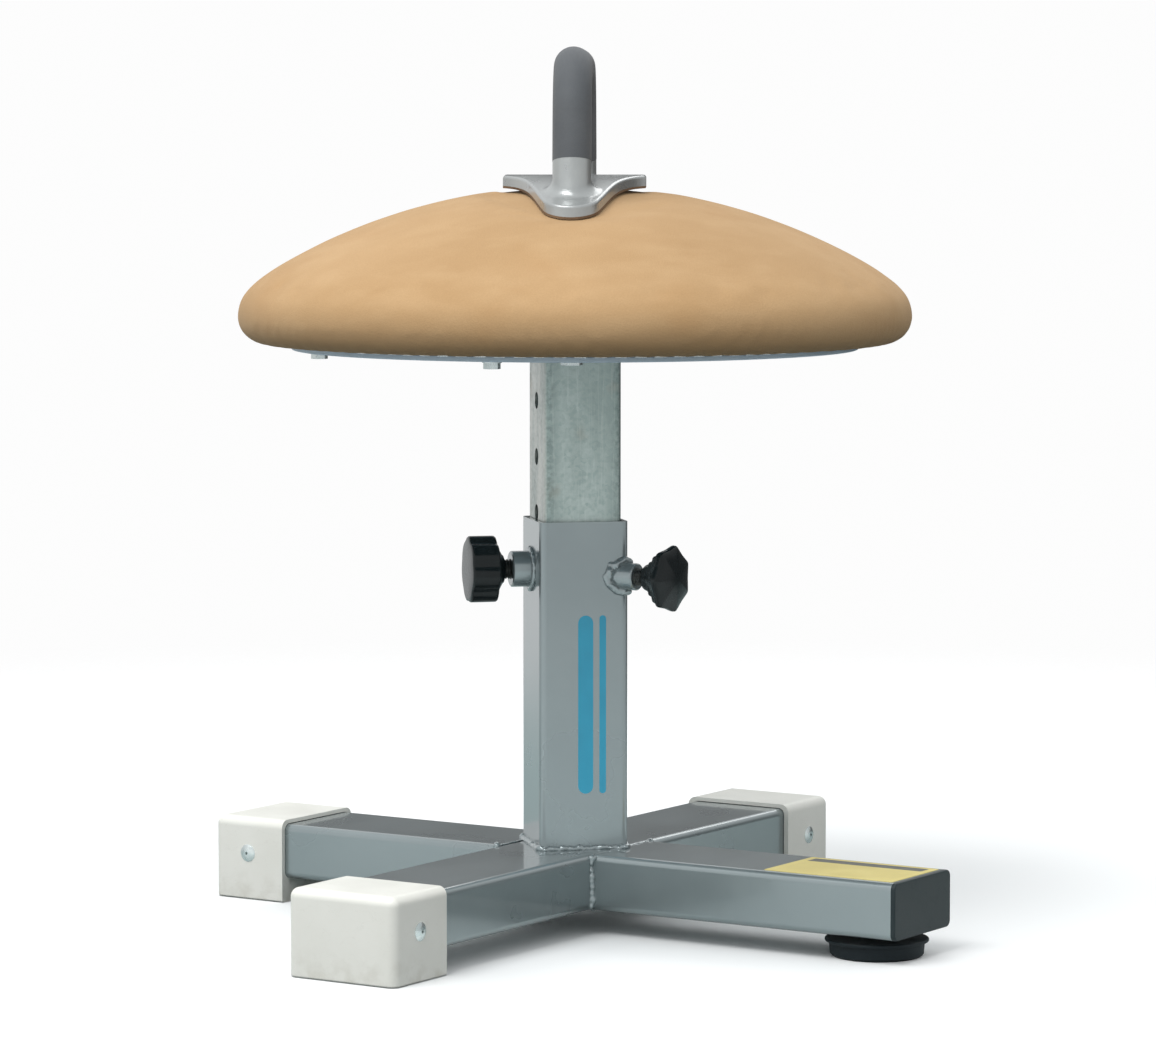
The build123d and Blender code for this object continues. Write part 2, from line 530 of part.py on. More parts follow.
with BuildPart() as post_plug:
    with BuildSketch(Plane.XY.offset(POST_BOTTOM - POST_PLUG_FLANGE)):
        RectangleRounded(POST_SIZE, POST_SIZE, POST_ROUND)
    extrude(amount=POST_PLUG_FLANGE)
    plug_size = POST_SIZE - 2 * (POST_WALL + PLUG_CLEARANCE)
    plug_round = POST_ROUND - POST_WALL
    square_tube(Plane.XY.offset(POST_BOTTOM), plug_size, plug_size, plug_round, PLUG_WALL, POST_PLUG_DEPTH)
post_plug.part.label = "post_plug"
export_step(post_plug.part, "parts/post_plug.step")


# ---- Padded body --------------------------------------------------------------------------
def body_section(inset):
    """Half section of the padded body, this far inside its outer surface, to revolve about Z."""
    with BuildSketch(Plane.XZ) as section:
        with BuildLine():
            dome = JernArc((0, DOME_APEX - inset), (1, 0), DOME_RADIUS - inset, -DOME_ANGLE)
            edge = JernArc(dome @ 1, dome % 1, EDGE_RADIUS - inset, DOME_ANGLE - 90)
            lower = JernArc(edge @ 1, edge % 1, LOWER_EDGE_RADIUS - inset, -90)
            Polyline(lower @ 1, (0, BODY_BOTTOM + inset), (0, DOME_APEX - inset))
        make_face()
    return section.sketch


def bolt_places(circle_radius, angles):
    """Plan positions round a circle."""
    return [(circle_radius * cos(radians(a)), circle_radius * sin(radians(a))) for a in angles]


def at(place, level=0.0):
    """Horizontal plane over a plan position."""
    return Plane((place[0], place[1], level))


disc_bolt_places = bolt_places(DISC_BOLT_CIRCLE, DISC_BOLT_ANGLES)
pommel_bolt_places = bolt_places(NECK_REACH, (POMMEL_ANGLE, POMMEL_ANGLE + 180))


def cut_pommel_bolt_holes(start, end):
    """Clearance holes for the two pommel bolts, between two levels."""
    for place in pommel_bolt_places:
        round_bar(at(place), POMMEL_BOLT_RADIUS + BOLT_HOLE_CLEARANCE, start, end, Mode.SUBTRACT)


with BuildPart() as mounting_disc:
    round_bar(Plane.XY, DISC_RADIUS, DISC_BOTTOM, BODY_BOTTOM)
    fillet(mounting_disc.edges(), 1.0)
    cut_pommel_bolt_holes(DISC_BOTTOM - 1, BODY_BOTTOM + 1)
    for place in disc_bolt_places:
        round_bar(at(place), DISC_BOLT_HOLE, DISC_BOTTOM - 1, BODY_BOTTOM + 1, Mode.SUBTRACT)
mounting_disc.part.label = "mounting_disc"
export_step(mounting_disc.part, "parts/mounting_disc.step")

with BuildPart() as base_board:
    round_bar(Plane.XY, BOARD_RADIUS, BODY_BOTTOM + COVER_THICKNESS, BOARD_TOP)
    round_bar(Plane.XY, HEM_RADIUS, BODY_BOTTOM, BOARD_TOP)
    cut_pommel_bolt_holes(BODY_BOTTOM - 1, BOARD_TOP + 1)
    for place in disc_bolt_places:
        round_bar(at(place), TEE_NUT_BARREL, BODY_BOTTOM - 1, BOARD_TOP + 1, Mode.SUBTRACT)
        flange_bottom = BOARD_TOP - TEE_NUT_FLANGE_THICKNESS
        round_bar(at(place), TEE_NUT_FLANGE, flange_bottom, BOARD_TOP + 1, Mode.SUBTRACT)
base_board.part.label = "base_board"
export_step(base_board.part, "parts/base_board.step")

with BuildPart() as pommel_block:
    with BuildSketch(pommel_plan.offset(BOARD_TOP)):
        RectangleRounded(2 * (NECK_REACH + BLOCK_END_MARGIN), BLOCK_WIDTH, 10.0)
    extrude(amount=DOME_APEX - BOARD_TOP)
    with BuildSketch(Plane.XZ):
        with BuildLine():
            block_top = JernArc((0, DOME_APEX - BLOCK_COVER), (1, 0), DOME_RADIUS - BLOCK_COVER, -DOME_ANGLE)
            Polyline(block_top @ 1, (0, DOME_CENTRE), (0, DOME_APEX - BLOCK_COVER))
        make_face()
    revolve(axis=Axis.Z, mode=Mode.INTERSECT)
block_solid = pommel_block.part
with BuildPart() as foam_core:
    revolve(body_section(COVER_THICKNESS), axis=Axis.Z)
    round_bar(Plane.XY, BOARD_RADIUS, BODY_BOTTOM, BOARD_TOP, Mode.SUBTRACT)
    add(block_solid, mode=Mode.SUBTRACT)
    cut_pommel_bolt_holes(BOARD_TOP - 1, DOME_APEX)
foam_core.part.label = "foam_core"
export_step(foam_core.part, "parts/foam_core.step")

with BuildPart() as drilled_block:
    add(block_solid)
    cut_pommel_bolt_holes(BOARD_TOP - 1, DOME_APEX)
drilled_block.part.label = "pommel_block"
export_step(drilled_block.part, "parts/pommel_block.step")

with BuildPart() as dome_cover:
    revolve(body_section(0.0), axis=Axis.Z)
    revolve(body_section(COVER_THICKNESS), axis=Axis.Z, mode=Mode.SUBTRACT)
    round_bar(Plane.XY, HEM_RADIUS, BODY_BOTTOM - 1, BODY_BOTTOM + 2 * COVER_THICKNESS, Mode.SUBTRACT)
    cut_pommel_bolt_holes(BOARD_TOP, DOME_APEX)
dome_cover.part.label = "dome_cover"
export_step(dome_cover.part, "parts/dome_cover.step")

# ---- Fasteners under the body -------------------------------------------------------------
with BuildPart() as disc_washers:
    for place in disc_bolt_places:
        round_bar(at(place), DISC_WASHER_RADIUS, DISC_BOTTOM - DISC_WASHER_THICKNESS, DISC_BOTTOM)
        round_bar(at(place), DISC_BOLT_HOLE, DISC_BOTTOM - 3, DISC_BOTTOM + 1, Mode.SUBTRACT)
disc_washers.part.label = "disc_washers"
export_step(disc_washers.part, "parts/disc_washers.step")

with BuildPart() as tee_nuts:
    for place in disc_bolt_places:
        round_bar(at(place), TEE_NUT_BARREL, BOARD_TOP - TEE_NUT_LENGTH, BOARD_TOP)
        round_bar(at(place), TEE_NUT_FLANGE, BOARD_TOP - TEE_NUT_FLANGE_THICKNESS, BOARD_TOP)
        tee_nut_bore = DISC_BOLT_RADIUS + THREAD_CLEARANCE
        round_bar(at(place), tee_nut_bore, BODY_BOTTOM, BOARD_TOP + 1, Mode.SUBTRACT)
tee_nuts.part.label = "tee_nuts"
export_step(tee_nuts.part, "parts/tee_nuts.step")


def build_bolts(places, radius, hexagon, head_top, head_height, end):
    """Hexagon-headed bolts pointing up, with their heads under this level."""
    with BuildPart() as bolts:
        for place in places:
            hex_bar(at(place), hexagon, head_top - head_height, head_top)
            round_bar(at(place), radius, head_top, end)
    return bolts.part


disc_bolts = build_bolts(
    disc_bolt_places, DISC_BOLT_RADIUS, DISC_BOLT_HEX,
    DISC_BOTTOM - DISC_WASHER_THICKNESS, DISC_BOLT_HEAD, BOARD_TOP - 1,
)
disc_bolts.label = "disc_bolts"
export_step(disc_bolts, "parts/disc_bolts.step")

pommel_bolts = build_bolts(
    pommel_bolt_places, POMMEL_BOLT_RADIUS, POMMEL_BOLT_HEX,
    DISC_BOTTOM - POMMEL_WASHER_THICKNESS, POMMEL_BOLT_HEAD, POMMEL_BOLT_TOP,
)
pommel_bolts.label = "pommel_bolts"
export_step(pommel_bolts, "parts/pommel_bolts.step")

with BuildPart() as pommel_washers:
    for place in pommel_bolt_places:
        round_bar(at(place), POMMEL_WASHER_RADIUS, DISC_BOTTOM - POMMEL_WASHER_THICKNESS, DISC_BOTTOM)
    cut_pommel_bolt_holes(DISC_BOTTOM - 5, DISC_BOTTOM + 1)
pommel_washers.part.label = "pommel_washers"
export_step(pommel_washers.part, "parts/pommel_washers.step")


# ---- Pommel -------------------------------------------------------------------------------
def saddle_outline():
    """Plan of the saddle: a wing to each side, tapering to a round nose in front of each neck."""
    nose_centre = SADDLE_HALF_LENGTH - SADDLE_NOSE_RADIUS
    nose_start = nose_centre + SADDLE_NOSE_RADIUS * sin(radians(SADDLE_TAPER))
    nose_side = SADDLE_NOSE_RADIUS * cos(radians(SADDLE_TAPER))
    with BuildSketch(pommel_plan) as outline:
        with BuildLine():
            for side in (1, -1):
                Line((-SADDLE_WING_FLAT, side * SADDLE_WING), (SADDLE_WING_FLAT, side * SADDLE_WING))
                for end in (1, -1):
                    Spline(
                        (end * SADDLE_WING_FLAT, side * SADDLE_WING),
                        (end * nose_start, side * nose_side),
                        tangents=((end, -side), (end, -side * tan(radians(SADDLE_TAPER)))),
                    )
            for end in (1, -1):
                ThreePointArc(
                    (end * nose_start, nose_side),
                    (end * SADDLE_HALF_LENGTH, 0),
                    (end * nose_start, -nose_side),
                )
        make_face()
    return outline.sketch


def curved_plate(inner_radius, outer_radius):
    """Plate with the saddle's outline, bent over the dome lengthways, in the part being built."""
    with BuildSketch(pommel_side) as ring:
        with Locations((0, DOME_CENTRE)):
            Circle(outer_radius)
            Circle(inner_radius, mode=Mode.SUBTRACT)
    extrude(saddle_outline(), amount=POMMEL_TOP)
    extrude(ring.sketch, amount=2 * SADDLE_WING, both=True, mode=Mode.INTERSECT)
    split(bisect_by=Plane.XY.offset(DOME_CENTRE))


def neck_point(level):
    """Point on the front neck's centreline at this level, in the arch's own plane."""
    return (NECK_REACH - (level - NECK_FOOT) * tan(radians(NECK_LEAN)), level)


def neck_plane(end, level):
    """Plane across a neck's centreline, with its normal up the neck."""
    reach, height = neck_point(level)
    lean = radians(NECK_LEAN)
    along = pommel_side.x_dir * (-end * sin(lean)) + Vector(0, 0, cos(lean))
    return Plane(pommel_side.from_local_coords((end * reach, height)), x_dir=pommel_side.z_dir, z_dir=along)


def sweep_arch(start_level, outer_radius, inner_radius):
    """Tube along the arch's centreline, from this level on one side to the other."""
    foot, corner = neck_point(start_level), neck_point(CROWN_LEVEL)
    with BuildLine(pommel_side) as path:
        FilletPolyline((-foot[0], foot[1]), (-corner[0], corner[1]), corner, foot, radius=ARCH_BEND)
    with BuildSketch(neck_plane(-1, start_level)) as ring:
        Circle(outer_radius)
        Circle(inner_radius, mode=Mode.SUBTRACT)
    sweep(ring.sketch, path=path.line)


def neck_joints(part):
    """Edges where the necks meet the top of the saddle."""
    found = []
    for edge in part.edges():
        place = pommel_side.to_local_coords(edge @ 0)
        on_top = abs(hypot(place.X, place.Y - DOME_CENTRE) - SADDLE_TOP_RADIUS) < 0.01
        if on_top and hypot(abs(place.X) - NECK_REACH, place.Z) < NECK_RADIUS + 3:
            found.append(edge)
    return found


with BuildPart() as pommel_base:
    curved_plate(SADDLE_BOTTOM_RADIUS, SADDLE_TOP_RADIUS)
    fillet(pommel_base.faces().sort_by(Axis.Z)[-1].edges(), SADDLE_EDGE)
    for end in (1, -1):
        neck_length = GRIP_END_LEVEL - NECK_FOOT + 3 * SADDLE_THICKNESS
        round_bar(neck_plane(end, GRIP_END_LEVEL), NECK_RADIUS, -neck_length, 0)
    with BuildSketch(pommel_side) as under_saddle:
        with Locations((0, DOME_CENTRE)):
            Circle(SADDLE_BOTTOM_RADIUS)
    extrude(under_saddle.sketch, amount=SADDLE_WING, both=True, mode=Mode.SUBTRACT)
    fillet(neck_joints(pommel_base.part), NECK_FLARE)
    for end in (1, -1):
        foot_plane = neck_plane(end, CORE_FOOT_LEVEL)
        round_bar(foot_plane, CORE_RADIUS + CORE_CLEARANCE, 0, GRIP_END_LEVEL, Mode.SUBTRACT)
    for place in pommel_bolt_places:
        thread_bore = POMMEL_BOLT_RADIUS + THREAD_CLEARANCE
        round_bar(at(place), thread_bore, DOME_CENTRE, POMMEL_BOLT_TOP + 1, Mode.SUBTRACT)
pommel_base.part.label = "pommel_base"
export_step(pommel_base.part, "parts/pommel_base.step")

with BuildPart() as pommel_underlay:
    curved_plate(DOME_RADIUS + UNDERLAY_LIFT, SADDLE_BOTTOM_RADIUS)
    cut_pommel_bolt_holes(DOME_CENTRE, DOME_APEX + UNDERLAY_THICKNESS + 1)
pommel_underlay.part.label = "pommel_underlay"
export_step(pommel_underlay.part, "parts/pommel_underlay.step")

with BuildPart() as pommel_core:
    sweep_arch(CORE_FOOT_LEVEL, CORE_RADIUS, CORE_RADIUS - CORE_WALL)
pommel_core.part.label = "pommel_core"
export_step(pommel_core.part, "parts/pommel_core.step")

with BuildPart() as pommel_grip:
    sweep_arch(GRIP_END_LEVEL, GRIP_RADIUS, CORE_RADIUS)
pommel_grip.part.label = "pommel_grip"
export_step(pommel_grip.part, "parts/pommel_grip.step")
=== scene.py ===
# %% [markdown]
# # A mushroom trainer with one pommel
# A gymnast circles on this low trainer: a suede dome on a square post that telescopes in a
# welded cross base, with one pommel on top. The steel parts are finished solids already. This
# lesson gives each of them a finish, and builds the pieces that need Blender: the stuffed
# cover, the star knobs, the threads, the welds and the staples.

import math

import bmesh
import bpy
import numpy as np
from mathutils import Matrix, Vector, noise


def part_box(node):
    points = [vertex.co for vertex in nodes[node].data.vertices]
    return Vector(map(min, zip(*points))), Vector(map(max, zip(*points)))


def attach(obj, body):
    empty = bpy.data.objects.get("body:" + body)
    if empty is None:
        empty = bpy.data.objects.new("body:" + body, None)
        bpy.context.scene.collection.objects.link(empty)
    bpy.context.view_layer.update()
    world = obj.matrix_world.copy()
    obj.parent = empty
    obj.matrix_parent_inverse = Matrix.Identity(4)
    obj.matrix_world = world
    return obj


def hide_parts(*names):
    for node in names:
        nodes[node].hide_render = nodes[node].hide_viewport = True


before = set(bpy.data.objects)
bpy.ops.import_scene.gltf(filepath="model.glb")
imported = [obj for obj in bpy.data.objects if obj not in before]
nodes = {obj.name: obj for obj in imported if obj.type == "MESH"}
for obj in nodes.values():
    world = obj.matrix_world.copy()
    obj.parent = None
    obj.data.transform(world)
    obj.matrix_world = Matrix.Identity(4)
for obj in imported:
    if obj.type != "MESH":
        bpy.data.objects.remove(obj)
scene = bpy.context.scene
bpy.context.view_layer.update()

# %% [markdown]
# ## Camera
# A long lens from over four metres keeps the verticals nearly parallel. The camera stands a
# little left of the front and looks slightly down, so that the tops of the legs show. It is
# placed by two angles and a distance, which is easier to judge than three coordinates.

# %% Place the camera
CAMERA_TURN, CAMERA_RISE = math.radians(-12.24), math.radians(4.80)
CAMERA_DISTANCE = 4.325
aim = Vector((0, 0, 0.364))
backwards = Vector((
    math.sin(CAMERA_TURN) * math.cos(CAMERA_RISE),
    -math.cos(CAMERA_TURN) * math.cos(CAMERA_RISE),
    math.sin(CAMERA_RISE),
))
camera_data = bpy.data.cameras.new("trainer_camera")
camera_data.lens = 151.0
camera_data.sensor_width = 36.0
camera_data.shift_x = 0.0026
camera = bpy.data.objects.new("trainer_camera", camera_data)
camera.location = aim + backwards * CAMERA_DISTANCE
camera.rotation_euler = (-backwards).to_track_quat("-Z", "Y").to_euler()
scene.collection.objects.link(camera)
scene.camera = camera
print("camera at", [round(v, 3) for v in camera.location])

# %% [markdown]
# ## Small helpers
# Node trees are easier to read when one call makes a node, sets its plain values and joins its
# inputs. A value that is a socket is joined, and anything else is set.

# %% Helpers for nodes
def add_node(tree, kind, inputs=None, **settings):
    """A new node with its settings, its plain input values and its joined inputs."""
    node = tree.nodes.new(kind)
    for name, value in settings.items():
        setattr(node, name, value)
    for name, value in (inputs or {}).items():
        if isinstance(value, bpy.types.NodeSocket):
            tree.links.new(value, node.inputs[name])
        else:
            node.inputs[name].default_value = value
    return node


def arithmetic(tree, operation, a, b=0.0, clamp=False):
    """The result of one Math node."""
    return add_node(tree, "ShaderNodeMath", {0: a, 1: b}, operation=operation, use_clamp=clamp).outputs[0]


def multiply(tree, a, b):
    """The product of two numbers or sockets."""
    return arithmetic(tree, "MULTIPLY", a, b)


def remap(tree, value, low, high, start=0.0, end=1.0, ease="LINEAR"):
    """The value, stretched so that low gives start and high gives end."""
    inputs = {"Value": value, "From Min": low, "From Max": high, "To Min": start, "To Max": end}
    return add_node(tree, "ShaderNodeMapRange", inputs, interpolation_type=ease).outputs["Result"]


def blend_colours(tree, share, first, second):
    """From the first colour at share 0 to the second at share 1."""
    mix = add_node(tree, "ShaderNodeMix", data_type="RGBA")
    for index, value in ((0, share), (6, first), (7, second)):
        if isinstance(value, bpy.types.NodeSocket):
            tree.links.new(value, mix.inputs[index])
        elif index == 0:
            mix.inputs[index].default_value = value
        else:
            mix.inputs[index].default_value = (*value, 1.0)
    return mix.outputs[2]


def object_place(tree):
    """Where a point of the object is, in metres."""
    return add_node(tree, "ShaderNodeTexCoord").outputs["Object"]


def one_axis(tree, vector, axis):
    """One of a vector's three numbers."""
    return add_node(tree, "ShaderNodeSeparateXYZ", {"Vector": vector}).outputs[axis]


def new_group(name, kind, inputs, outputs):
    """An empty node group with these named sockets, its input node and its output node."""
    group = bpy.data.node_groups.new(name, kind)
    for socket_name, socket_kind, default in inputs:
        socket = group.interface.new_socket(name=socket_name, in_out="INPUT", socket_type=socket_kind)
        if default is not None:
            socket.default_value = default
    for socket_name, socket_kind in outputs:
        group.interface.new_socket(name=socket_name, in_out="OUTPUT", socket_type=socket_kind)
    return group, group.nodes.new("NodeGroupInput"), group.nodes.new("NodeGroupOutput")


FLOAT, VECTOR = "NodeSocketFloat", "NodeSocketVector"
print("node helpers ready")

# %% [markdown]
# ## Effects that several finishes share
# Real finishes are never even: they cloud, wear on edges, gather dust and pick up scratches.
# Each effect is one shader group with named inputs, so every finish uses the same effect with
# its own values. A group gives only a mask, and the material decides what the mask does.

# %% Cloudy variation
clouds, given, result = new_group(
    "clouds", "ShaderNodeTree",
    [("Scale", FLOAT, 20.0), ("Stretch", VECTOR, (1, 1, 1)), ("Detail", FLOAT, 3.0),
     ("Low", FLOAT, 0.35), ("High", FLOAT, 0.65)],
    [("Mask", FLOAT)],
)
stretched = add_node(
    clouds, "ShaderNodeMapping", {"Vector": object_place(clouds), "Scale": given.outputs["Stretch"]})
cloud = add_node(clouds, "ShaderNodeTexNoise", {
    "Vector": stretched.outputs["Vector"], "Scale": given.outputs["Scale"],
    "Detail": given.outputs["Detail"]})
mask = remap(clouds, cloud.outputs["Fac"], given.outputs["Low"], given.outputs["High"])
clouds.links.new(mask, result.inputs["Mask"])
print("clouds:", len(clouds.nodes), "nodes")

# %% Wear along edges
edge_wear, given, result = new_group(
    "edge_wear", "ShaderNodeTree",
    [("Width", FLOAT, 0.002), ("Patches", FLOAT, 60.0), ("Amount", FLOAT, 0.5)], [("Mask", FLOAT)],
)
flat_normal = add_node(edge_wear, "ShaderNodeNewGeometry").outputs["Normal"]
rounded = add_node(edge_wear, "ShaderNodeBevel", {"Radius": given.outputs["Width"]}, samples=4)
agreement = add_node(
    edge_wear, "ShaderNodeVectorMath", {0: flat_normal, 1: rounded.outputs["Normal"]},
    operation="DOT_PRODUCT")
edge = remap(edge_wear, agreement.outputs["Value"], 0.995, 0.90)
patches = add_node(edge_wear, "ShaderNodeTexNoise", {
    "Vector": object_place(edge_wear), "Scale": given.outputs["Patches"], "Detail": 4.0})
worn = multiply(edge_wear, edge, remap(edge_wear, patches.outputs["Fac"], 0.42, 0.60))
edge_wear.links.new(multiply(edge_wear, worn, given.outputs["Amount"]), result.inputs["Mask"])
print("edge wear:", len(edge_wear.nodes), "nodes")

# %% Settled dust
dust, given, result = new_group(
    "settled_dust", "ShaderNodeTree", [("Amount", FLOAT, 0.2), ("Scale", FLOAT, 30.0)], [("Mask", FLOAT)])
upwards = one_axis(dust, add_node(dust, "ShaderNodeNewGeometry").outputs["Normal"], "Z")
drift = add_node(dust, "ShaderNodeTexNoise", {
    "Vector": object_place(dust), "Scale": given.outputs["Scale"], "Detail": 5.0})
lying = multiply(dust, remap(dust, upwards, 0.5, 1.0), remap(dust, drift.outputs["Fac"], 0.35, 0.7))
dust.links.new(multiply(dust, lying, given.outputs["Amount"]), result.inputs["Mask"])
print("dust:", len(dust.nodes), "nodes")

# %% Fine scratches
scratches, given, result = new_group(
    "scratches", "ShaderNodeTree",
    [("Scale", FLOAT, 60.0), ("Stretch", VECTOR, (1, 1, 0.05)), ("Sharpness", FLOAT, 0.03)],
    [("Mask", FLOAT)],
)
drawn_out = add_node(
    scratches, "ShaderNodeMapping", {"Vector": object_place(scratches), "Scale": given.outputs["Stretch"]})
lines = add_node(scratches, "ShaderNodeTexNoise", {
    "Vector": drawn_out.outputs["Vector"], "Scale": given.outputs["Scale"], "Detail": 6.0})
middle = arithmetic(scratches, "ABSOLUTE", arithmetic(scratches, "SUBTRACT", lines.outputs["Fac"], 0.5))
thin = arithmetic(scratches, "SUBTRACT", 1.0, arithmetic(
    scratches, "DIVIDE", middle, given.outputs["Sharpness"], clamp=True), clamp=True)
scratches.links.new(thin, result.inputs["Mask"])
print("scratches:", len(scratches.nodes), "nodes")

# %% [markdown]
# ## Starting a finish
# Every finish starts from the same Principled shader. Numbers that are the same all over, such
# as the coat's roughness or the sheen, are set straight on its sockets. Only what changes over
# the surface comes through nodes.

# %% Helpers for finishes
def start_finish(name, **constants):
    """A new material, its tree and its shader, with these plain values set on the shader."""
    material = bpy.data.materials.new(name)
    material.use_nodes = True
    shader = material.node_tree.nodes["Principled BSDF"]
    for socket, value in constants.items():
        shader.inputs[socket.replace("_", " ")].default_value = value
    return material, material.node_tree, shader


def effect(tree, group, **inputs):
    """The mask of one shared effect, with this finish's own values."""
    node = add_node(tree, "ShaderNodeGroup", node_tree=group)
    for name, value in inputs.items():
        node.inputs[name].default_value = value
    return node.outputs["Mask"]


def emboss(tree, shader, height, strength, depth):
    """Joins a height to the shader's normal through a Bump node."""
    bump = add_node(tree, "ShaderNodeBump", {"Height": height, "Strength": strength, "Distance": depth})
    tree.links.new(bump.outputs["Normal"], shader.inputs["Normal"])


def feed(tree, shader, **sources):
    """Joins sockets to the shader's inputs by name."""
    for name, source in sources.items():
        tree.links.new(source, shader.inputs[name.replace("_", " ")])


def tint(tree, tone, mask, amount, colour):
    """The tone, drawn this much towards a colour where the mask is full."""
    return blend_colours(tree, multiply(tree, mask, amount), tone, colour)


print("finish helpers ready")

# %% [markdown]
# ## Silver-grey enamel
# The welded base is sprayed with a silver-grey enamel: a little metal flake under a clear gloss.
# A clear coat over a rougher, slightly metallic base gives the bright line along each rounded
# edge of a tube, which one roughness alone can't.

# %% Enamel
enamel, tree, shader = start_finish(
    "silver_grey_enamel", Metallic=0.60, Coat_Weight=0.85, Coat_Roughness=0.06)
cloud = effect(tree, clouds, Scale=9.0, Detail=4.0)
tone = blend_colours(tree, cloud, (0.235, 0.278, 0.287), (0.262, 0.306, 0.314))
worn = effect(tree, edge_wear, Width=0.0015, Patches=90.0, Amount=0.35)
tone = blend_colours(tree, worn, tone, (0.46, 0.49, 0.49))
tone = blend_colours(tree, effect(tree, dust, Amount=0.05, Scale=35.0), tone, (0.42, 0.41, 0.38))
feed(tree, shader, Base_Color=tone, Roughness=remap(tree, cloud, 0.0, 1.0, 0.26, 0.34))
emboss(tree, shader, effect(tree, clouds, Scale=420.0, Detail=2.0), 0.04, 0.0003)
print("enamel:", len(tree.nodes), "nodes")

# %% [markdown]
# ## Galvanised steel
# The post is bare galvanised tube. Zinc freezes into flat crystals that each reflect a little
# differently, and sliding in the column draws long scratches down it. Voronoi cells give the
# crystals, and the scratch group is stretched along the post. The side that faces the lock
# screw is painted paler in patches: partly zinc bloom, and partly painted light for the
# brightness that face gets from the key light on the left. The rolled edges are darker. Both
# follow the place across. Frost, dull stains and a few brown smears break up the rest.

# %% Galvanised steel
ROLLED_FROM, ROLLED_TO = 0.020, 0.031            # off the middle of a face, in metres
LOCK_SIDE_FROM, LOCK_SIDE_TO = -0.0325, -0.0347

galvanised, tree, shader = start_finish("galvanised_steel", Metallic=0.86)
place = object_place(tree)
crystals = add_node(tree, "ShaderNodeTexVoronoi", {"Vector": place, "Scale": 240.0, "Randomness": 1.0})
crystal = add_node(tree, "ShaderNodeSeparateColor", {"Color": crystals.outputs["Color"]}).outputs["Red"]
tone = blend_colours(tree, crystal, (0.300, 0.368, 0.350), (0.380, 0.445, 0.425))
frost = effect(tree, clouds, Scale=330.0, Detail=6.0, Low=0.40, High=0.62)
tone = tint(tree, tone, frost, 0.40, (0.52, 0.575, 0.55))
stain = effect(tree, clouds, Scale=14.0, Stretch=(2.2, 2.2, 0.5), Detail=6.0, Low=0.44, High=0.66)
tone = tint(tree, tone, stain, 0.50, (0.225, 0.280, 0.265))
across = one_axis(tree, place, "X")
near_edge = remap(tree, arithmetic(tree, "ABSOLUTE", across), ROLLED_FROM, ROLLED_TO)
rolled = multiply(tree, near_edge, remap(tree, frost, 0.0, 1.0, 0.30, 0.75))
tone = blend_colours(tree, rolled, tone, (0.165, 0.215, 0.205))
# Painted light: the face towards the lock screw is drawn paler in patches, partly zinc bloom and partly the
# brightness the key light gives that face.
lit_lock_side = remap(tree, across, LOCK_SIDE_FROM, LOCK_SIDE_TO)
pale_patches = effect(tree, clouds, Scale=55.0, Stretch=(1.0, 1.0, 0.25), Detail=7.0, Low=0.28, High=0.62)
bloom_and_painted_light = multiply(tree, lit_lock_side, remap(tree, pale_patches, 0.0, 1.0, 0.22, 0.78))
tone = blend_colours(tree, bloom_and_painted_light, tone, (0.70, 0.695, 0.655))
smear = effect(tree, clouds, Scale=30.0, Stretch=(1.0, 1.0, 0.8), Detail=8.0, Low=0.60, High=0.72)
tone = tint(tree, tone, smear, 0.30, (0.26, 0.20, 0.135))
drawn = effect(tree, scratches, Scale=130.0, Stretch=(1.0, 1.0, 0.03), Sharpness=0.02)
tone = tint(tree, tone, drawn, 0.22, (0.58, 0.63, 0.60))
feed(tree, shader, Base_Color=tone, Roughness=remap(tree, frost, 0.0, 1.0, 0.34, 0.52))
emboss(tree, shader, arithmetic(tree, "ADD", drawn, frost), 0.16, 0.0003)
print("galvanised:", len(tree.nodes), "nodes")

# %% [markdown]
# ## Smaller metals
# The mounting disc has a pale blue-grey powder coat, the fasteners are zinc plated, the two
# adjusting screws are oiled black, and the pommel's base is a casting in bright silver paint.
# They differ in only a few numbers, so one function makes all four.

# %% Plated, coated and painted metal
def metal_finish(name, dark, light, rough, scale, wear, metallic, coat=0.0, grain=0.0006):
    """A clouded metal finish with worn edges and an uneven gloss."""
    material, tree, shader = start_finish(name, Metallic=metallic, Coat_Weight=coat, Coat_Roughness=0.08)
    cloud = effect(tree, clouds, Scale=scale, Detail=4.0)
    tone = blend_colours(tree, cloud, dark, light)
    worn = effect(tree, edge_wear, Width=0.0008, Patches=160.0, Amount=wear)
    tone = blend_colours(tree, worn, tone, tuple(min(1.0, 1.35 * v) for v in light))
    feed(tree, shader, Base_Color=tone, Roughness=remap(tree, cloud, 0.0, 1.0, rough, rough + 0.14))
    emboss(tree, shader, effect(tree, clouds, Scale=scale * 14, Detail=2.0), 0.08, grain)
    return material


disc_coat = metal_finish("pale_powder_coat", (0.46, 0.58, 0.68), (0.54, 0.66, 0.76), 0.38, 12.0, 0.2, 0.1)
zinc = metal_finish("zinc_plate", (0.50, 0.56, 0.56), (0.66, 0.70, 0.69), 0.20, 120.0, 0.2, 0.95)
oiled = metal_finish("oiled_black_screw", (0.045, 0.05, 0.05), (0.10, 0.105, 0.10), 0.34, 200.0, 0.5, 0.8)
casting = metal_finish(
    "silver_casting_paint", (0.335, 0.350, 0.350), (0.385, 0.400, 0.395), 0.24, 26.0, 0.15, 0.60, coat=0.40)
print("metals:", disc_coat.name, zinc.name, oiled.name, casting.name)

# %% [markdown]
# ## Foot cap plastic
# The caps are moulded in off-white plastic that has gathered grime near the floor. The grime is
# a mask of the height above the floor, broken up by clouds, so it fades upwards unevenly.

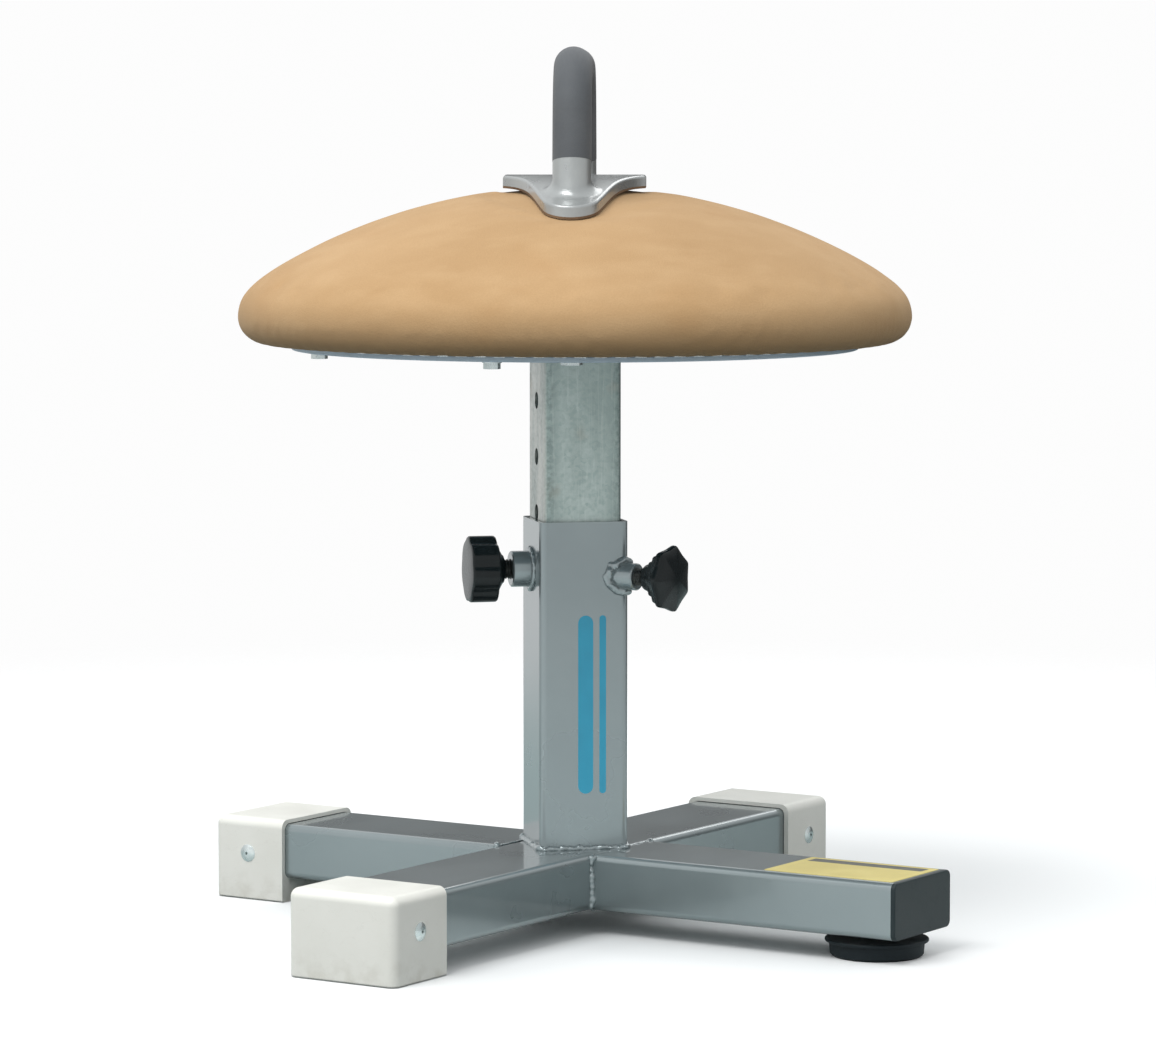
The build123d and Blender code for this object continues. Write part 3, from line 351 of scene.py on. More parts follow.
# %% Off-white plastic
cap_plastic, tree, shader = start_finish("off_white_plastic", Coat_Weight=0.12, Coat_Roughness=0.25)
cloud = effect(tree, clouds, Scale=18.0, Detail=5.0)
tone = blend_colours(tree, cloud, (0.855, 0.850, 0.785), (0.895, 0.890, 0.830))
low_down = remap(tree, one_axis(tree, object_place(tree), "Z"), 0.030, 0.0)
smudge = effect(tree, clouds, Scale=70.0, Detail=8.0, Low=0.46, High=0.68)
grime = multiply(tree, multiply(tree, low_down, smudge), 0.30)
tone = blend_colours(tree, grime, tone, (0.42, 0.38, 0.29))
scuff = effect(tree, scratches, Scale=40.0, Stretch=(1.0, 1.0, 1.6), Sharpness=0.006)
tone = tint(tree, tone, scuff, 0.14, (0.58, 0.56, 0.50))
tone = blend_colours(tree, effect(tree, dust, Amount=0.04, Scale=50.0), tone, (0.78, 0.75, 0.66))
feed(tree, shader, Base_Color=tone, Roughness=remap(tree, cloud, 0.0, 1.0, 0.36, 0.50))
emboss(tree, shader, effect(tree, clouds, Scale=600.0, Detail=2.0), 0.06, 0.0003)
print("cap plastic:", len(tree.nodes), "nodes")

# %% [markdown]
# ## Dark plastic and rubber
# The knobs are glossy black, the end plug is a satin dark grey with a moulded grain, the
# levelling foot is dull rubber, and the pommel's grip is a soft matte grey sleeve. The layer
# under the saddle is a brown pad. One function covers them, from gloss to matte.

# %% Dark plastic and rubber
def moulded_finish(
        name, dark, light, rough, grain_scale, grain_strength, dusty=0.1, specular=0.5, sheen=0.0):
    """A moulded plastic or rubber with a grain, faint scuffs and a little dust."""
    material, tree, shader = start_finish(
        name, Specular_IOR_Level=specular, Sheen_Weight=sheen, Sheen_Roughness=0.4)
    cloud = effect(tree, clouds, Scale=28.0, Detail=5.0)
    tone = blend_colours(tree, cloud, dark, light)
    tone = blend_colours(tree, effect(tree, dust, Amount=dusty, Scale=60.0), tone, (0.30, 0.29, 0.27))
    scuff = effect(tree, scratches, Scale=55.0, Stretch=(1.0, 1.4, 0.8), Sharpness=0.008)
    uneven = arithmetic(
        tree, "ADD", remap(tree, cloud, 0.0, 1.0, rough, rough + 0.08), multiply(tree, scuff, 0.10))
    feed(tree, shader, Base_Color=tone, Roughness=uneven)
    emboss(tree, shader, effect(tree, clouds, Scale=grain_scale, Detail=3.0), grain_strength, 0.0004)
    return material


DULL = 0.25                                      # specular level of the dark pieces
knob_gloss = moulded_finish(
    "glossy_black_plastic", (0.005, 0.009, 0.010), (0.010, 0.015, 0.016), 0.15, 500.0, 0.02, 0.0,
    specular=DULL)
plug_satin = moulded_finish(
    "dark_grey_plastic", (0.017, 0.027, 0.030), (0.026, 0.038, 0.041), 0.42, 900.0, 0.15, specular=DULL)
foot_rubber = moulded_finish(
    "black_rubber", (0.006, 0.011, 0.014), (0.014, 0.021, 0.025), 0.58, 700.0, 0.20, specular=DULL)
grip_sleeve = moulded_finish(
    "matte_grey_grip", (0.072, 0.079, 0.087), (0.090, 0.098, 0.106), 0.66, 1100.0, 0.28, 0.04, sheen=0.12)
underlay_pad = moulded_finish("brown_underlay", (0.10, 0.056, 0.028), (0.18, 0.110, 0.060), 0.80, 800.0, 0.4)
print("moulded:", knob_gloss.name, plug_satin.name, foot_rubber.name, grip_sleeve.name, underlay_pad.name)

# %% [markdown]
# ## Suede
# The cover is brushed suede. Its nap lies in soft patches that catch the light differently, and
# the grain is very fine. The lower rim is darker: a little handling soil, but mostly painted
# shade, as the rim turns down away from the light. Sheen on the shader gives the pale bloom
# of a nap seen along its surface.

# %% Suede
suede, tree, shader = start_finish(
    "tan_suede", Roughness=0.92, Sheen_Weight=0.14, Sheen_Roughness=0.5, Sheen_Tint=(1.0, 0.82, 0.62, 1.0))
shader.inputs["Specular IOR Level"].default_value = 0.18
wide = effect(tree, clouds, Scale=5.5, Stretch=(1, 1, 1.8), Detail=5.0, Low=0.34, High=0.68)
tone = blend_colours(tree, wide, (0.430, 0.266, 0.128), (0.500, 0.320, 0.163))
streak = effect(tree, clouds, Scale=26.0, Stretch=(0.6, 1.0, 2.2), Detail=7.0, Low=0.44, High=0.70)
tone = tint(tree, tone, streak, 0.34, (0.560, 0.376, 0.205))
rubbed = effect(tree, clouds, Scale=11.0, Stretch=(1.3, 0.8, 1.6), Detail=8.0, Low=0.56, High=0.74)
tone = tint(tree, tone, rubbed, 0.34, (0.43, 0.245, 0.108))
# Painted shade with a little handling soil: the suede is drawn darker and browner towards the bottom of the
# rim.
rim_shade_and_soil = remap(tree, one_axis(tree, object_place(tree), "Z"), 0.562, 0.522)
tone = tint(tree, tone, rim_shade_and_soil, 0.50, (0.33, 0.225, 0.125))
speck = effect(tree, clouds, Scale=750.0, Detail=3.0, Low=0.38, High=0.62)
tone = tint(tree, tone, speck, 0.16, (0.33, 0.205, 0.098))
feed(tree, shader, Base_Color=tone)
nap = arithmetic(tree, "ADD", speck, multiply(tree, streak, 0.8))
emboss(tree, shader, nap, 0.22, 0.0005)
print("suede:", len(tree.nodes), "nodes")

# %% [markdown]
# ## Hidden stuffing and boards
# Inside the cover are a foam core, a plywood board and a hardwood block. They show only when
# the model is taken apart, but each still gets its own finish: open foam cells, and growth
# rings stretched along the grain.

# %% Foam and wood
foam, tree, shader = start_finish("rebonded_foam", Roughness=0.95, Sheen_Weight=0.1)
place = object_place(tree)
cells = add_node(tree, "ShaderNodeTexVoronoi", {"Vector": place, "Scale": 160.0})
chip = add_node(tree, "ShaderNodeSeparateColor", {"Color": cells.outputs["Color"]}).outputs["Green"]
feed(tree, shader, Base_Color=blend_colours(tree, chip, (0.62, 0.54, 0.30), (0.78, 0.72, 0.50)))
emboss(tree, shader, cells.outputs["Distance"], 0.5, 0.001)


def wood_finish(name, early, late, stretch):
    """Growth rings drawn out along the grain."""
    material, tree, shader = start_finish(name, Roughness=0.68)
    ring = effect(tree, clouds, Scale=30.0, Stretch=stretch, Detail=7.0, Low=0.42, High=0.60)
    pore = effect(tree, scratches, Scale=160.0, Stretch=stretch, Sharpness=0.04)
    tone = blend_colours(tree, ring, early, late)
    tone = tint(tree, tone, pore, 0.35, tuple(0.5 * v for v in late))
    feed(tree, shader, Base_Color=tone)
    emboss(tree, shader, pore, 0.2, 0.0004)
    return material


plywood = wood_finish("birch_plywood", (0.60, 0.44, 0.26), (0.48, 0.33, 0.18), (0.12, 1.0, 3.0))
hardwood = wood_finish("beech_block", (0.56, 0.37, 0.21), (0.44, 0.27, 0.14), (1.0, 0.10, 1.0))
print("stuffing:", foam.name, plywood.name, hardwood.name)

# %% [markdown]
# ## Leg label
# A yellow film is stuck on the front right leg, with a plain dark band along its rear edge and
# thin ruled lines. It carries no words. A Mapping node turns the pattern by 45 degrees, so that
# its first axis runs along the leg.

# %% Label film
PRINT_REACH = 0.0565                             # from the label's centre, in metres
BAND_LOW, BAND_HIGH = 0.0215, 0.0365
RULED_LOW, RULED_HIGH = -0.0365, 0.0165
RULES_PER_METRE, RULE_SHARE = 190.0, 0.24


def within(tree, value, low, high):
    """1 where the value lies between low and high, and 0 elsewhere."""
    return multiply(
        tree, arithmetic(tree, "GREATER_THAN", value, low), arithmetic(tree, "LESS_THAN", value, high))


label_film, tree, shader = start_finish("yellow_label_film", Coat_Weight=0.25, Coat_Roughness=0.2)
place = object_place(tree)
turned = add_node(tree, "ShaderNodeMapping", {"Vector": place, "Rotation": (0, 0, math.radians(45))})
along_leg = add_node(tree, "ShaderNodeSeparateXYZ", {"Vector": turned.outputs["Vector"]})
label_low, label_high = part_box("leg_label")
label_middle = (label_low + label_high) / 2
label_centre = (label_middle.x - label_middle.y) / math.sqrt(2)
across = along_leg.outputs["Y"]
lengthways = arithmetic(
    tree, "ABSOLUTE", arithmetic(tree, "SUBTRACT", along_leg.outputs["X"], label_centre))
inside = arithmetic(tree, "LESS_THAN", lengthways, PRINT_REACH)
band = within(tree, across, BAND_LOW, BAND_HIGH)
rule = arithmetic(
    tree, "LESS_THAN", arithmetic(tree, "FRACT", multiply(tree, across, RULES_PER_METRE)), RULE_SHARE)
ruled = multiply(tree, rule, within(tree, across, RULED_LOW, RULED_HIGH))
faded = effect(tree, clouds, Scale=40.0, Detail=6.0)
tone = blend_colours(tree, faded, (0.70, 0.575, 0.155), (0.76, 0.64, 0.21))
tone = tint(tree, tone, multiply(tree, ruled, inside), 0.34, (0.38, 0.33, 0.14))
tone = blend_colours(tree, multiply(tree, band, inside), tone, (0.085, 0.088, 0.070))
feed(tree, shader, Base_Color=tone, Roughness=remap(tree, faded, 0.0, 1.0, 0.38, 0.5))
print("label centre along the leg:", round(label_centre, 4))

# %% [markdown]
# ### Stripe film
# The stripes on the column are film too, a little glossier than the label. Their flat teal is
# broken only by a faint fading.

# %% Stripe film
stripe_film, tree, shader = start_finish("teal_stripe_film", Coat_Weight=0.3, Coat_Roughness=0.15)
faded = effect(tree, clouds, Scale=30.0, Detail=5.0)
feed(tree, shader, Base_Color=blend_colours(tree, faded, (0.018, 0.340, 0.530), (0.026, 0.390, 0.590)),
     Roughness=remap(tree, faded, 0.0, 1.0, 0.34, 0.46))
print("stripe:", stripe_film.name)

# %% [markdown]
# ## Finishing the solid parts
# A solid part keeps its mesh and only gets a finish, put in its own material slots.

# %% Put the finishes on
PART_FINISHES = {
    enamel: ["cross_beam", "beam_stub_front", "beam_stub_rear", "column", "lock_boss", "clamp_boss"],
    galvanised: ["post", "pommel_core"],
    disc_coat: ["mounting_disc"],
    zinc: ["cap_rivets", "levelling_nut", "levelling_stud", "disc_bolts", "disc_washers", "pommel_bolts",
           "pommel_washers", "tee_nuts", "clamp_pad", "lock_pin"],
    oiled: ["lock_screw", "clamp_screw"],
    casting: ["pommel_base"],
    cap_plastic: ["foot_cap_front_left", "foot_cap_rear_left", "foot_cap_rear_right"],
    knob_gloss: ["lock_knob", "clamp_knob"],
    plug_satin: ["end_plug", "post_plug"],
    foot_rubber: ["levelling_pad"],
    grip_sleeve: ["pommel_grip"],
    underlay_pad: ["pommel_underlay"],
    suede: ["dome_cover"],
    foam: ["foam_core"],
    plywood: ["base_board"],
    hardwood: ["pommel_block"],
    label_film: ["leg_label"],
}
for finish, part_names in PART_FINISHES.items():
    for part_name in part_names:
        for part_slot in nodes[part_name].material_slots:
            part_slot.material = finish
finished = {name for names in PART_FINISHES.values() for name in names}
print("finished parts:", len(finished), "of", len(nodes), "left over:", sorted(set(nodes) - finished))

# %% [markdown]
# ## Making a mesh from rings
# A screw, a knob and the stuffed dome are all stacks of rings round an axis. One function joins
# a stack of rings into a closed mesh, with a point at each end.

# %% Helpers for meshes
def add_piece(name, points, faces, edges=()):
    """A new mesh object at the origin."""
    mesh = bpy.data.meshes.new(name)
    mesh.from_pydata([tuple(p) for p in points], list(edges), list(faces))
    mesh.validate()
    piece = bpy.data.objects.new(name, mesh)
    scene.collection.objects.link(piece)
    return piece


def join_rings(name, rings, first_point, last_point):
    """A closed mesh through a stack of rings, with its faces outwards."""
    count, around = len(rings), len(rings[0])
    points = [p for ring in rings for p in ring] + [first_point, last_point]
    faces = []
    for level in range(count - 1):
        for step in range(around):
            after = (step + 1) % around
            low, high = level * around, (level + 1) * around
            faces.append((low + step, low + after, high + after, high + step))
    start, end, top = count * around, count * around + 1, (count - 1) * around
    for step in range(around):
        after = (step + 1) % around
        faces.append((start, after, step))
        faces.append((end, top + step, top + after))
    piece = add_piece(name, points, faces)
    shell = bmesh.new()
    shell.from_mesh(piece.data)
    bmesh.ops.recalc_face_normals(shell, faces=shell.faces)
    shell.to_mesh(piece.data)
    shell.free()
    return piece


def shade_smooth(piece, sharp_angle=180.0):
    """Smooth shading, with edges sharper than this angle kept crisp."""
    for face in piece.data.polygons:
        face.use_smooth = True
    if sharp_angle < 180.0:
        piece.data.set_sharp_from_angle(angle=math.radians(sharp_angle))


def hand_over(piece, body, finish=None):
    """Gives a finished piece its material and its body."""
    if finish is not None:
        piece.data.materials.clear()
        piece.data.materials.append(finish)
    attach(piece, body)
    print(piece.name, len(piece.data.polygons), "faces on", body)


UP = Vector((0, 0, 1))


class ScrewAxis:
    """A horizontal axis out of the column, for the pieces that turn round it."""

    def __init__(self, level, outwards):
        self.origin = Vector((0, 0, level))
        self.outwards = Vector(outwards).normalized()
        self.sideways = UP.cross(self.outwards)

    def point(self, distance, radius=0.0, angle=0.0):
        """The point this far out, this far off the axis, at this angle."""
        off_axis = self.sideways * math.cos(angle) + UP * math.sin(angle)
        return self.origin + self.outwards * distance + off_axis * radius


def middle_level(node):
    """The level of a node's middle."""
    low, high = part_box(node)
    return (low.z + high.z) / 2


lock_axis = ScrewAxis(middle_level("lock_boss"), (-1, 0, 0))
clamp_axis = ScrewAxis(middle_level("clamp_boss"), (1, -1, 0))
print("screw levels:", round(lock_axis.origin.z, 4), round(clamp_axis.origin.z, 4))

# %% [markdown]
# ## Threads
# The solid screws are plain cylinders. A right-hand thread is a ridge that climbs one pitch for
# each turn, so each point's radius follows how far out it is, less its share of a turn. The
# ridge fades at both ends, as the run-out of a cut thread does.

# %% Threaded screws
AROUND_THREAD, RINGS_PER_PITCH = 36, 8


def threaded_screw(name, axis, start, end, radius, pitch):
    """A screw with a right-hand thread along its whole length."""
    depth = 0.61 * pitch
    rings = []
    for step in range(int((end - start) / pitch * RINGS_PER_PITCH) + 1):
        distance = start + step * pitch / RINGS_PER_PITCH
        run_out = min(1.0, (distance - start) / (1.2 * pitch), (end - distance) / (1.2 * pitch))
        ring = []
        for turn in range(AROUND_THREAD):
            share = turn / AROUND_THREAD
            phase = (distance / pitch - share) % 1.0
            ridge = min(1.0, max(0.0, 1.18 - 2.36 * abs(phase - 0.5)))
            cut = depth * (1.0 - ridge) * max(0.0, run_out)
            ring.append(axis.point(distance, radius - cut, 2 * math.pi * share))
        rings.append(ring)
    last = start + (len(rings) - 1) * pitch / RINGS_PER_PITCH
    screw = join_rings(name, rings, axis.point(start), axis.point(last))
    shade_smooth(screw, 40.0)
    return screw


lock_thread = threaded_screw("lock_thread", lock_axis, 0.0442, 0.0890, 0.0089, 0.0025)
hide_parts("lock_screw")
hand_over(lock_thread, "lock_turn", oiled)
clamp_thread = threaded_screw("clamp_thread", clamp_axis, 0.0532, 0.0986, 0.0079, 0.0020)
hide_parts("clamp_screw")
hand_over(clamp_thread, "clamp_turn", oiled)

# %% [markdown]
# ## Star knobs
# Each knob is a star of seven. The left one has round lobes, a deep rim and a slightly domed
# face. The right one has straight sides between blunt points, flutes that narrow to its hub,
# and a face that rises in shallow facets. Both are stacks of rings that change from round to
# star, so a list of distance, radius and depth of star describes each whole knob.

# %% Star knobs
LOBES, AROUND_KNOB = 7, 196
STAR_RADIUS, LOBE_RADIUS, CORE_RADIUS = 30.0, 8.6, 24.0


def star_share(angle, first_lobe):
    """How far out the star reaches at this angle, as a share of its largest radius."""
    off_lobe = (angle - first_lobe + math.pi / LOBES) % (2 * math.pi / LOBES) - math.pi / LOBES
    centre = STAR_RADIUS - LOBE_RADIUS
    inside = LOBE_RADIUS ** 2 - (centre * math.sin(off_lobe)) ** 2
    lobe = centre * math.cos(off_lobe) + math.sqrt(inside) if inside > 0 else 0.0
    softness = 1.1
    reach = softness * math.log(math.exp(lobe / softness) + math.exp(CORE_RADIUS / softness))
    return min(1.0, reach / STAR_RADIUS)


def pointed_share(angle, first_lobe):
    """The same for a star with straight sides between blunt points."""
    off_lobe = (angle - first_lobe + math.pi / LOBES) % (2 * math.pi / LOBES) - math.pi / LOBES
    off_point = math.hypot(off_lobe, 0.05) - 0.05
    return math.cos(math.pi / LOBES) / math.cos(math.pi / LOBES - off_point)


def star_knob(name, axis, start, first_lobe, outline, face_height, share=star_share):
    """A knob from its hub outwards. outline is (distance, radius, depth of star) in millimetres."""
    rings = []
    for distance, radius, starred in outline:
        ring = []
        for turn in range(AROUND_KNOB):
            angle = 2 * math.pi * turn / AROUND_KNOB
            reach = radius * (1.0 - starred * (1.0 - share(angle, first_lobe)))
            ring.append(axis.point(start + distance / 1000, reach / 1000, angle))
        rings.append(ring)
    knob = join_rings(name, rings, axis.point(start), axis.point(start + face_height / 1000))
    shade_smooth(knob, 38.0)
    return knob


STRAIGHT_KNOB = [
    (0.0, 10.8, 0), (0.5, 12.4, 0), (1.4, 13.0, 0), (4.2, 17.6, 0.1), (6.4, 22.4, 0.2), (7.0, 23.4, 0.3),
    (7.2, 27.6, 0.44), (7.6, 28.9, 0.48), (8.6, 29.8, 0.50), (9.8, 30.0, 0.50), (30.0, 30.0, 0.42),
    (31.0, 29.8, 0.34), (31.7, 29.2, 0.28), (32.1, 28.2, 0.20), (32.4, 25.6, 0.1), (32.8, 18.0, 0),
    (33.0, 8.0, 0),
]
STEPPED_KNOB = [
    (0.0, 9.6, 0), (0.5, 11.0, 0), (1.4, 11.6, 0), (5.5, 13.6, 0.5), (8.4, 15.6, 1.0), (9.0, 17.4, 1.7),
    (9.8, 18.4, 1.9), (14.4, 20.6, 2.0), (15.2, 21.4, 2.0), (15.8, 24.4, 1.5), (16.8, 25.4, 1.5),
    (20.2, 27.0, 1.3), (21.4, 28.9, 1.15), (22.6, 29.8, 1.1), (23.8, 30.0, 1.1), (26.0, 29.9, 1.1),
    (27.0, 29.4, 1.1), (27.8, 28.0, 1.1), (29.8, 20.0, 1.1), (31.3, 11.0, 0.8), (31.9, 5.0, 0.2),
]
lock_star = star_knob("lock_star_knob", lock_axis, 0.0654, math.radians(90), STRAIGHT_KNOB, 33.0)
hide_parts("lock_knob")
hand_over(lock_star, "lock_turn", knob_gloss)
clamp_star = star_knob(
    "clamp_star_knob", clamp_axis, 0.0750, math.radians(76), STEPPED_KNOB, 32.1, pointed_share)
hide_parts("clamp_knob")
hand_over(clamp_star, "clamp_turn", knob_gloss)

# %% [markdown]
# ## Weld beads
# A weld is a row of overlapping puddles along a seam. Geometry Nodes suits that: a path in, a
# puddle at each step, a little random size, all melted together in a volume and levelled, and
# one mesh out.
# The tree is built once, and each seam has its own pitch and puddle size. The result is made
# real and kept as a plain mesh. The bead under the disc is under two millimetres high, because
# that is the room over the column when the post is at its lowest.

# %% Weld tree
INTEGER, GEOMETRY, MATERIAL = "NodeSocketInt", "NodeSocketGeometry", "NodeSocketMaterial"
weld_tree, given, result = new_group(
    "weld_bead", "GeometryNodeTree",
    [("Path", GEOMETRY, None), ("Pitch", FLOAT, 0.003), ("Puddle", FLOAT, 0.004),
     ("Wander", FLOAT, 0.0005), ("Melt", FLOAT, 0.0008), ("Seed", INTEGER, 1), ("Finish", MATERIAL, None)],
    [("Bead", GEOMETRY)],
)
seam = add_node(weld_tree, "GeometryNodeMeshToCurve", {"Mesh": given.outputs["Path"]})
steps = add_node(
    weld_tree, "GeometryNodeCurveToPoints",
    {"Curve": seam.outputs["Curve"], "Length": given.outputs["Pitch"]}, mode="LENGTH")
puddle = add_node(
    weld_tree, "GeometryNodeMeshIcoSphere", {"Radius": given.outputs["Puddle"], "Subdivisions": 2})
size = add_node(
    weld_tree, "FunctionNodeRandomValue",
    {0: (0.70, 0.70, 0.60), 1: (1.12, 1.12, 0.95), "Seed": given.outputs["Seed"]},
    data_type="FLOAT_VECTOR")
sway = add_node(
    weld_tree, "FunctionNodeRandomValue",
    {0: (-1, -1, -1), 1: (1, 1, 1), "Seed": given.outputs["Seed"]}, data_type="FLOAT_VECTOR")
shift = add_node(
    weld_tree, "ShaderNodeVectorMath", {0: sway.outputs[0], "Scale": given.outputs["Wander"]},
    operation="SCALE")
swayed = add_node(
    weld_tree, "GeometryNodeSetPosition",
    {"Geometry": steps.outputs["Points"], "Offset": shift.outputs["Vector"]})
row = add_node(weld_tree, "GeometryNodeInstanceOnPoints", {
    "Points": swayed.outputs["Geometry"], "Instance": puddle.outputs["Mesh"],
    "Rotation": steps.outputs["Rotation"], "Scale": size.outputs[0]})
real = add_node(weld_tree, "GeometryNodeRealizeInstances", {"Geometry": row.outputs["Instances"]})
molten = add_node(
    weld_tree, "GeometryNodeMeshToVolume",
    {"Mesh": real.outputs["Geometry"], "Voxel Size": given.outputs["Melt"]}, resolution_mode="VOXEL_SIZE")
frozen = add_node(
    weld_tree, "GeometryNodeVolumeToMesh",
    {"Volume": molten.outputs["Volume"], "Voxel Size": given.outputs["Melt"]}, resolution_mode="VOXEL_SIZE")
place = add_node(weld_tree, "GeometryNodeInputPosition").outputs["Position"]
levelled = add_node(
    weld_tree, "GeometryNodeBlurAttribute", {"Value": place, "Iterations": 5},
    data_type="FLOAT_VECTOR").outputs["Value"]
settled = add_node(
    weld_tree, "GeometryNodeSetPosition", {"Geometry": frozen.outputs["Mesh"], "Position": levelled})
smooth = add_node(weld_tree, "GeometryNodeSetShadeSmooth", {"Geometry": settled.outputs["Geometry"]})
whole = add_node(weld_tree, "GeometryNodeRealizeInstances", {"Geometry": smooth.outputs["Geometry"]})
painted = add_node(weld_tree, "GeometryNodeSetMaterial", {
    "Geometry": whole.outputs["Geometry"], "Material": given.outputs["Finish"]})
weld_tree.links.new(painted.outputs["Geometry"], result.inputs["Bead"])
print("weld tree:", len(weld_tree.nodes), "nodes")

# %% Growing a tree's result
def keep_result(piece):
    """Replaces a piece's mesh with what its modifiers make of it."""
    depsgraph = bpy.context.evaluated_depsgraph_get()
    mesh = bpy.data.meshes.new_from_object(piece.evaluated_get(depsgraph))
    piece.modifiers.clear()
    piece.data = mesh


def grow(piece, tree, **values):
    """Runs a tree on a piece and keeps the result as its plain mesh."""
    modifier = piece.modifiers.new(tree.name, "NODES")
    modifier.node_group = tree
    for socket in tree.interface.items_tree:
        if socket.in_out == "INPUT" and socket.name in values:
            modifier[socket.identifier] = values[socket.name]
    keep_result(piece)
    return piece


def path_piece(name, runs):
    """An object of plain edges along these runs. Each run is (points, closed)."""
    points, edges = [], []
    for run, closed in runs:
        first = len(points)
        points += run
        edges += [(first + i, first + i + 1) for i in range(len(run) - 1)]
        if closed:
            edges.append((first + len(run) - 1, first))
    return add_piece(name, points, [], edges)


def rounded_square(half, corner, level):
    """Points round a square with rounded corners."""
    points = []
    for quarter in range(4):
        turn = quarter * math.pi / 2
        for step in range(7):
            angle = step / 6 * math.pi / 2
            x = half - corner + corner * math.cos(angle)
            y = half - corner + corner * math.sin(angle)
            points.append((
                x * math.cos(turn) - y * math.sin(turn), x * math.sin(turn) + y * math.cos(turn), level))
    return points


print("weld helpers ready")

# %% Weld seams
TUBE_ROUND = 0.006                               # the corner radius of both tubes
LEG_TOP, LEG_BOTTOM, SEAM_REACH = 0.072, 0.022, 0.0707
column_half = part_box("column")[1].x
post_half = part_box("post")[1].x
disc_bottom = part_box("mounting_disc")[0].z


def weld(name, body, runs, seed, **sizes):
    """One weld bead along these runs, in the base's enamel."""
    bead = grow(path_piece(name, runs), weld_tree, Finish=enamel, Seed=seed, **sizes)
    hand_over(bead, body)


weld("column_foot_weld", "base",
     [(rounded_square(column_half + 0.0008, TUBE_ROUND, LEG_TOP + 0.0008), True)], 3,
     Pitch=0.0026, Puddle=0.0038, Wander=0.0008)
upright_runs = [
    ([(x, y, LEG_BOTTOM + 0.004), (x, y, LEG_TOP - 0.002)], False)
    for x, y in ((0, -SEAM_REACH), (SEAM_REACH, 0), (0, SEAM_REACH), (-SEAM_REACH, 0))
]
weld("leg_corner_welds", "base", upright_runs, 8, Pitch=0.0050, Puddle=0.0054, Wander=0.0012)
seam_runs = []
for side in (1, -1):
    for level in (LEG_TOP - 0.0004, LEG_BOTTOM + 0.0004):
        corner_a, corner_b = (0, -side * SEAM_REACH, level), (side * SEAM_REACH, 0, level)
        seam_runs.append(([corner_a, corner_b], False))
weld("leg_seam_welds", "base", seam_runs, 21, Pitch=0.0018, Puddle=0.0015, Wander=0.0003, Melt=0.0005)
ring_steps = [2 * math.pi * i / 48 for i in range(48)]
weld("lock_boss_weld", "base",
     [([lock_axis.point(column_half + 0.0006, 0.0170, a) for a in ring_steps], True)], 5,
     Pitch=0.0028, Puddle=0.0036, Wander=0.0007)

# %% Welds round the clamp boss and the post
def corner_distance(sideways):
    """How far out along the diagonal the column's surface is, this far to the side."""
    if abs(sideways) < TUBE_ROUND * math.sin(math.pi / 4):
        return (column_half - TUBE_ROUND) * math.sqrt(2) + math.sqrt(TUBE_ROUND ** 2 - sideways ** 2)
    return column_half * math.sqrt(2) - abs(sideways)


CLAMP_BEAD = 0.0136
clamp_ring = [
    clamp_axis.point(corner_distance(CLAMP_BEAD * math.cos(a)) + 0.0004, CLAMP_BEAD, a) for a in ring_steps]
weld("clamp_boss_weld", "base", [(clamp_ring, True)], 12, Pitch=0.0026, Puddle=0.0050, Wander=0.0011)
weld("disc_weld", "carriage",
     [(rounded_square(post_half + 0.0006, TUBE_ROUND, disc_bottom - 0.0006), True)], 31,
     Pitch=0.0012, Puddle=0.0009, Wander=0.0001, Melt=0.0003)

# %% [markdown]
# ## Stripes on the column
# The front of the column carries two plain teal stripes, with round ends. They are thin films,
# so each is a flat outline given a thickness, and it stands a tenth of a millimetre proud of
# the enamel.

# %% Stripes
STRIPE_BOTTOM, STRIPE_TOP, FILM = 0.122, 0.281, 0.00012
points, faces = [], []
for middle, half_width in ((0.0010, 0.0068), (0.0165, 0.0030)):
    outline = []
    for end_level, turn in ((STRIPE_TOP - half_width, 0.0), (STRIPE_BOTTOM + half_width, math.pi)):
        for step in range(13):
            angle = turn + math.pi * step / 12
            outline.append((middle + half_width * math.cos(angle), end_level + half_width * math.sin(angle)))
    first, count = len(points), len(outline)
    points += [(x, -column_half - FILM, z) for x, z in outline] + [(x, -column_half, z) for x, z in outline]
    faces.append(tuple(first + i for i in range(count)))
    faces.append(tuple(first + count + i for i in reversed(range(count))))
    for i in range(count):
        after = (i + 1) % count
        faces.append((first + i, first + count + i, first + count + after, first + after))
stripes = add_piece("column_stripes", points, faces)
hand_over(stripes, "base", stripe_film)

# %% [markdown]
# ## The stuffed cover
# The dome is foam under tight suede. A revolved profile alone looks turned on a lathe, so a
# slightly smaller form is remeshed into even squares, blown up by a short cloth simulation, and
# held within a cap. The bottom and the area under the pommel's saddle are held still, because
# the board and the saddle press there. The exact outline is known as a distance, so any point
# can be set to an exact height over it.

# %% Distance from the body's outline
cover_low, cover_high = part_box("dome_cover")
BODY_RADIUS, DOME_RADIUS, EDGE_RADIUS, LOWER_RADIUS = cover_high.x, 0.520, 0.036, 0.02366
BODY_BOTTOM = cover_low.z
DOME_CENTRE = cover_high.z - DOME_RADIUS
RIM_LEVEL = BODY_BOTTOM + LOWER_RADIUS
DOME_ANGLE = math.atan2(BODY_RADIUS - EDGE_RADIUS, RIM_LEVEL - DOME_CENTRE)


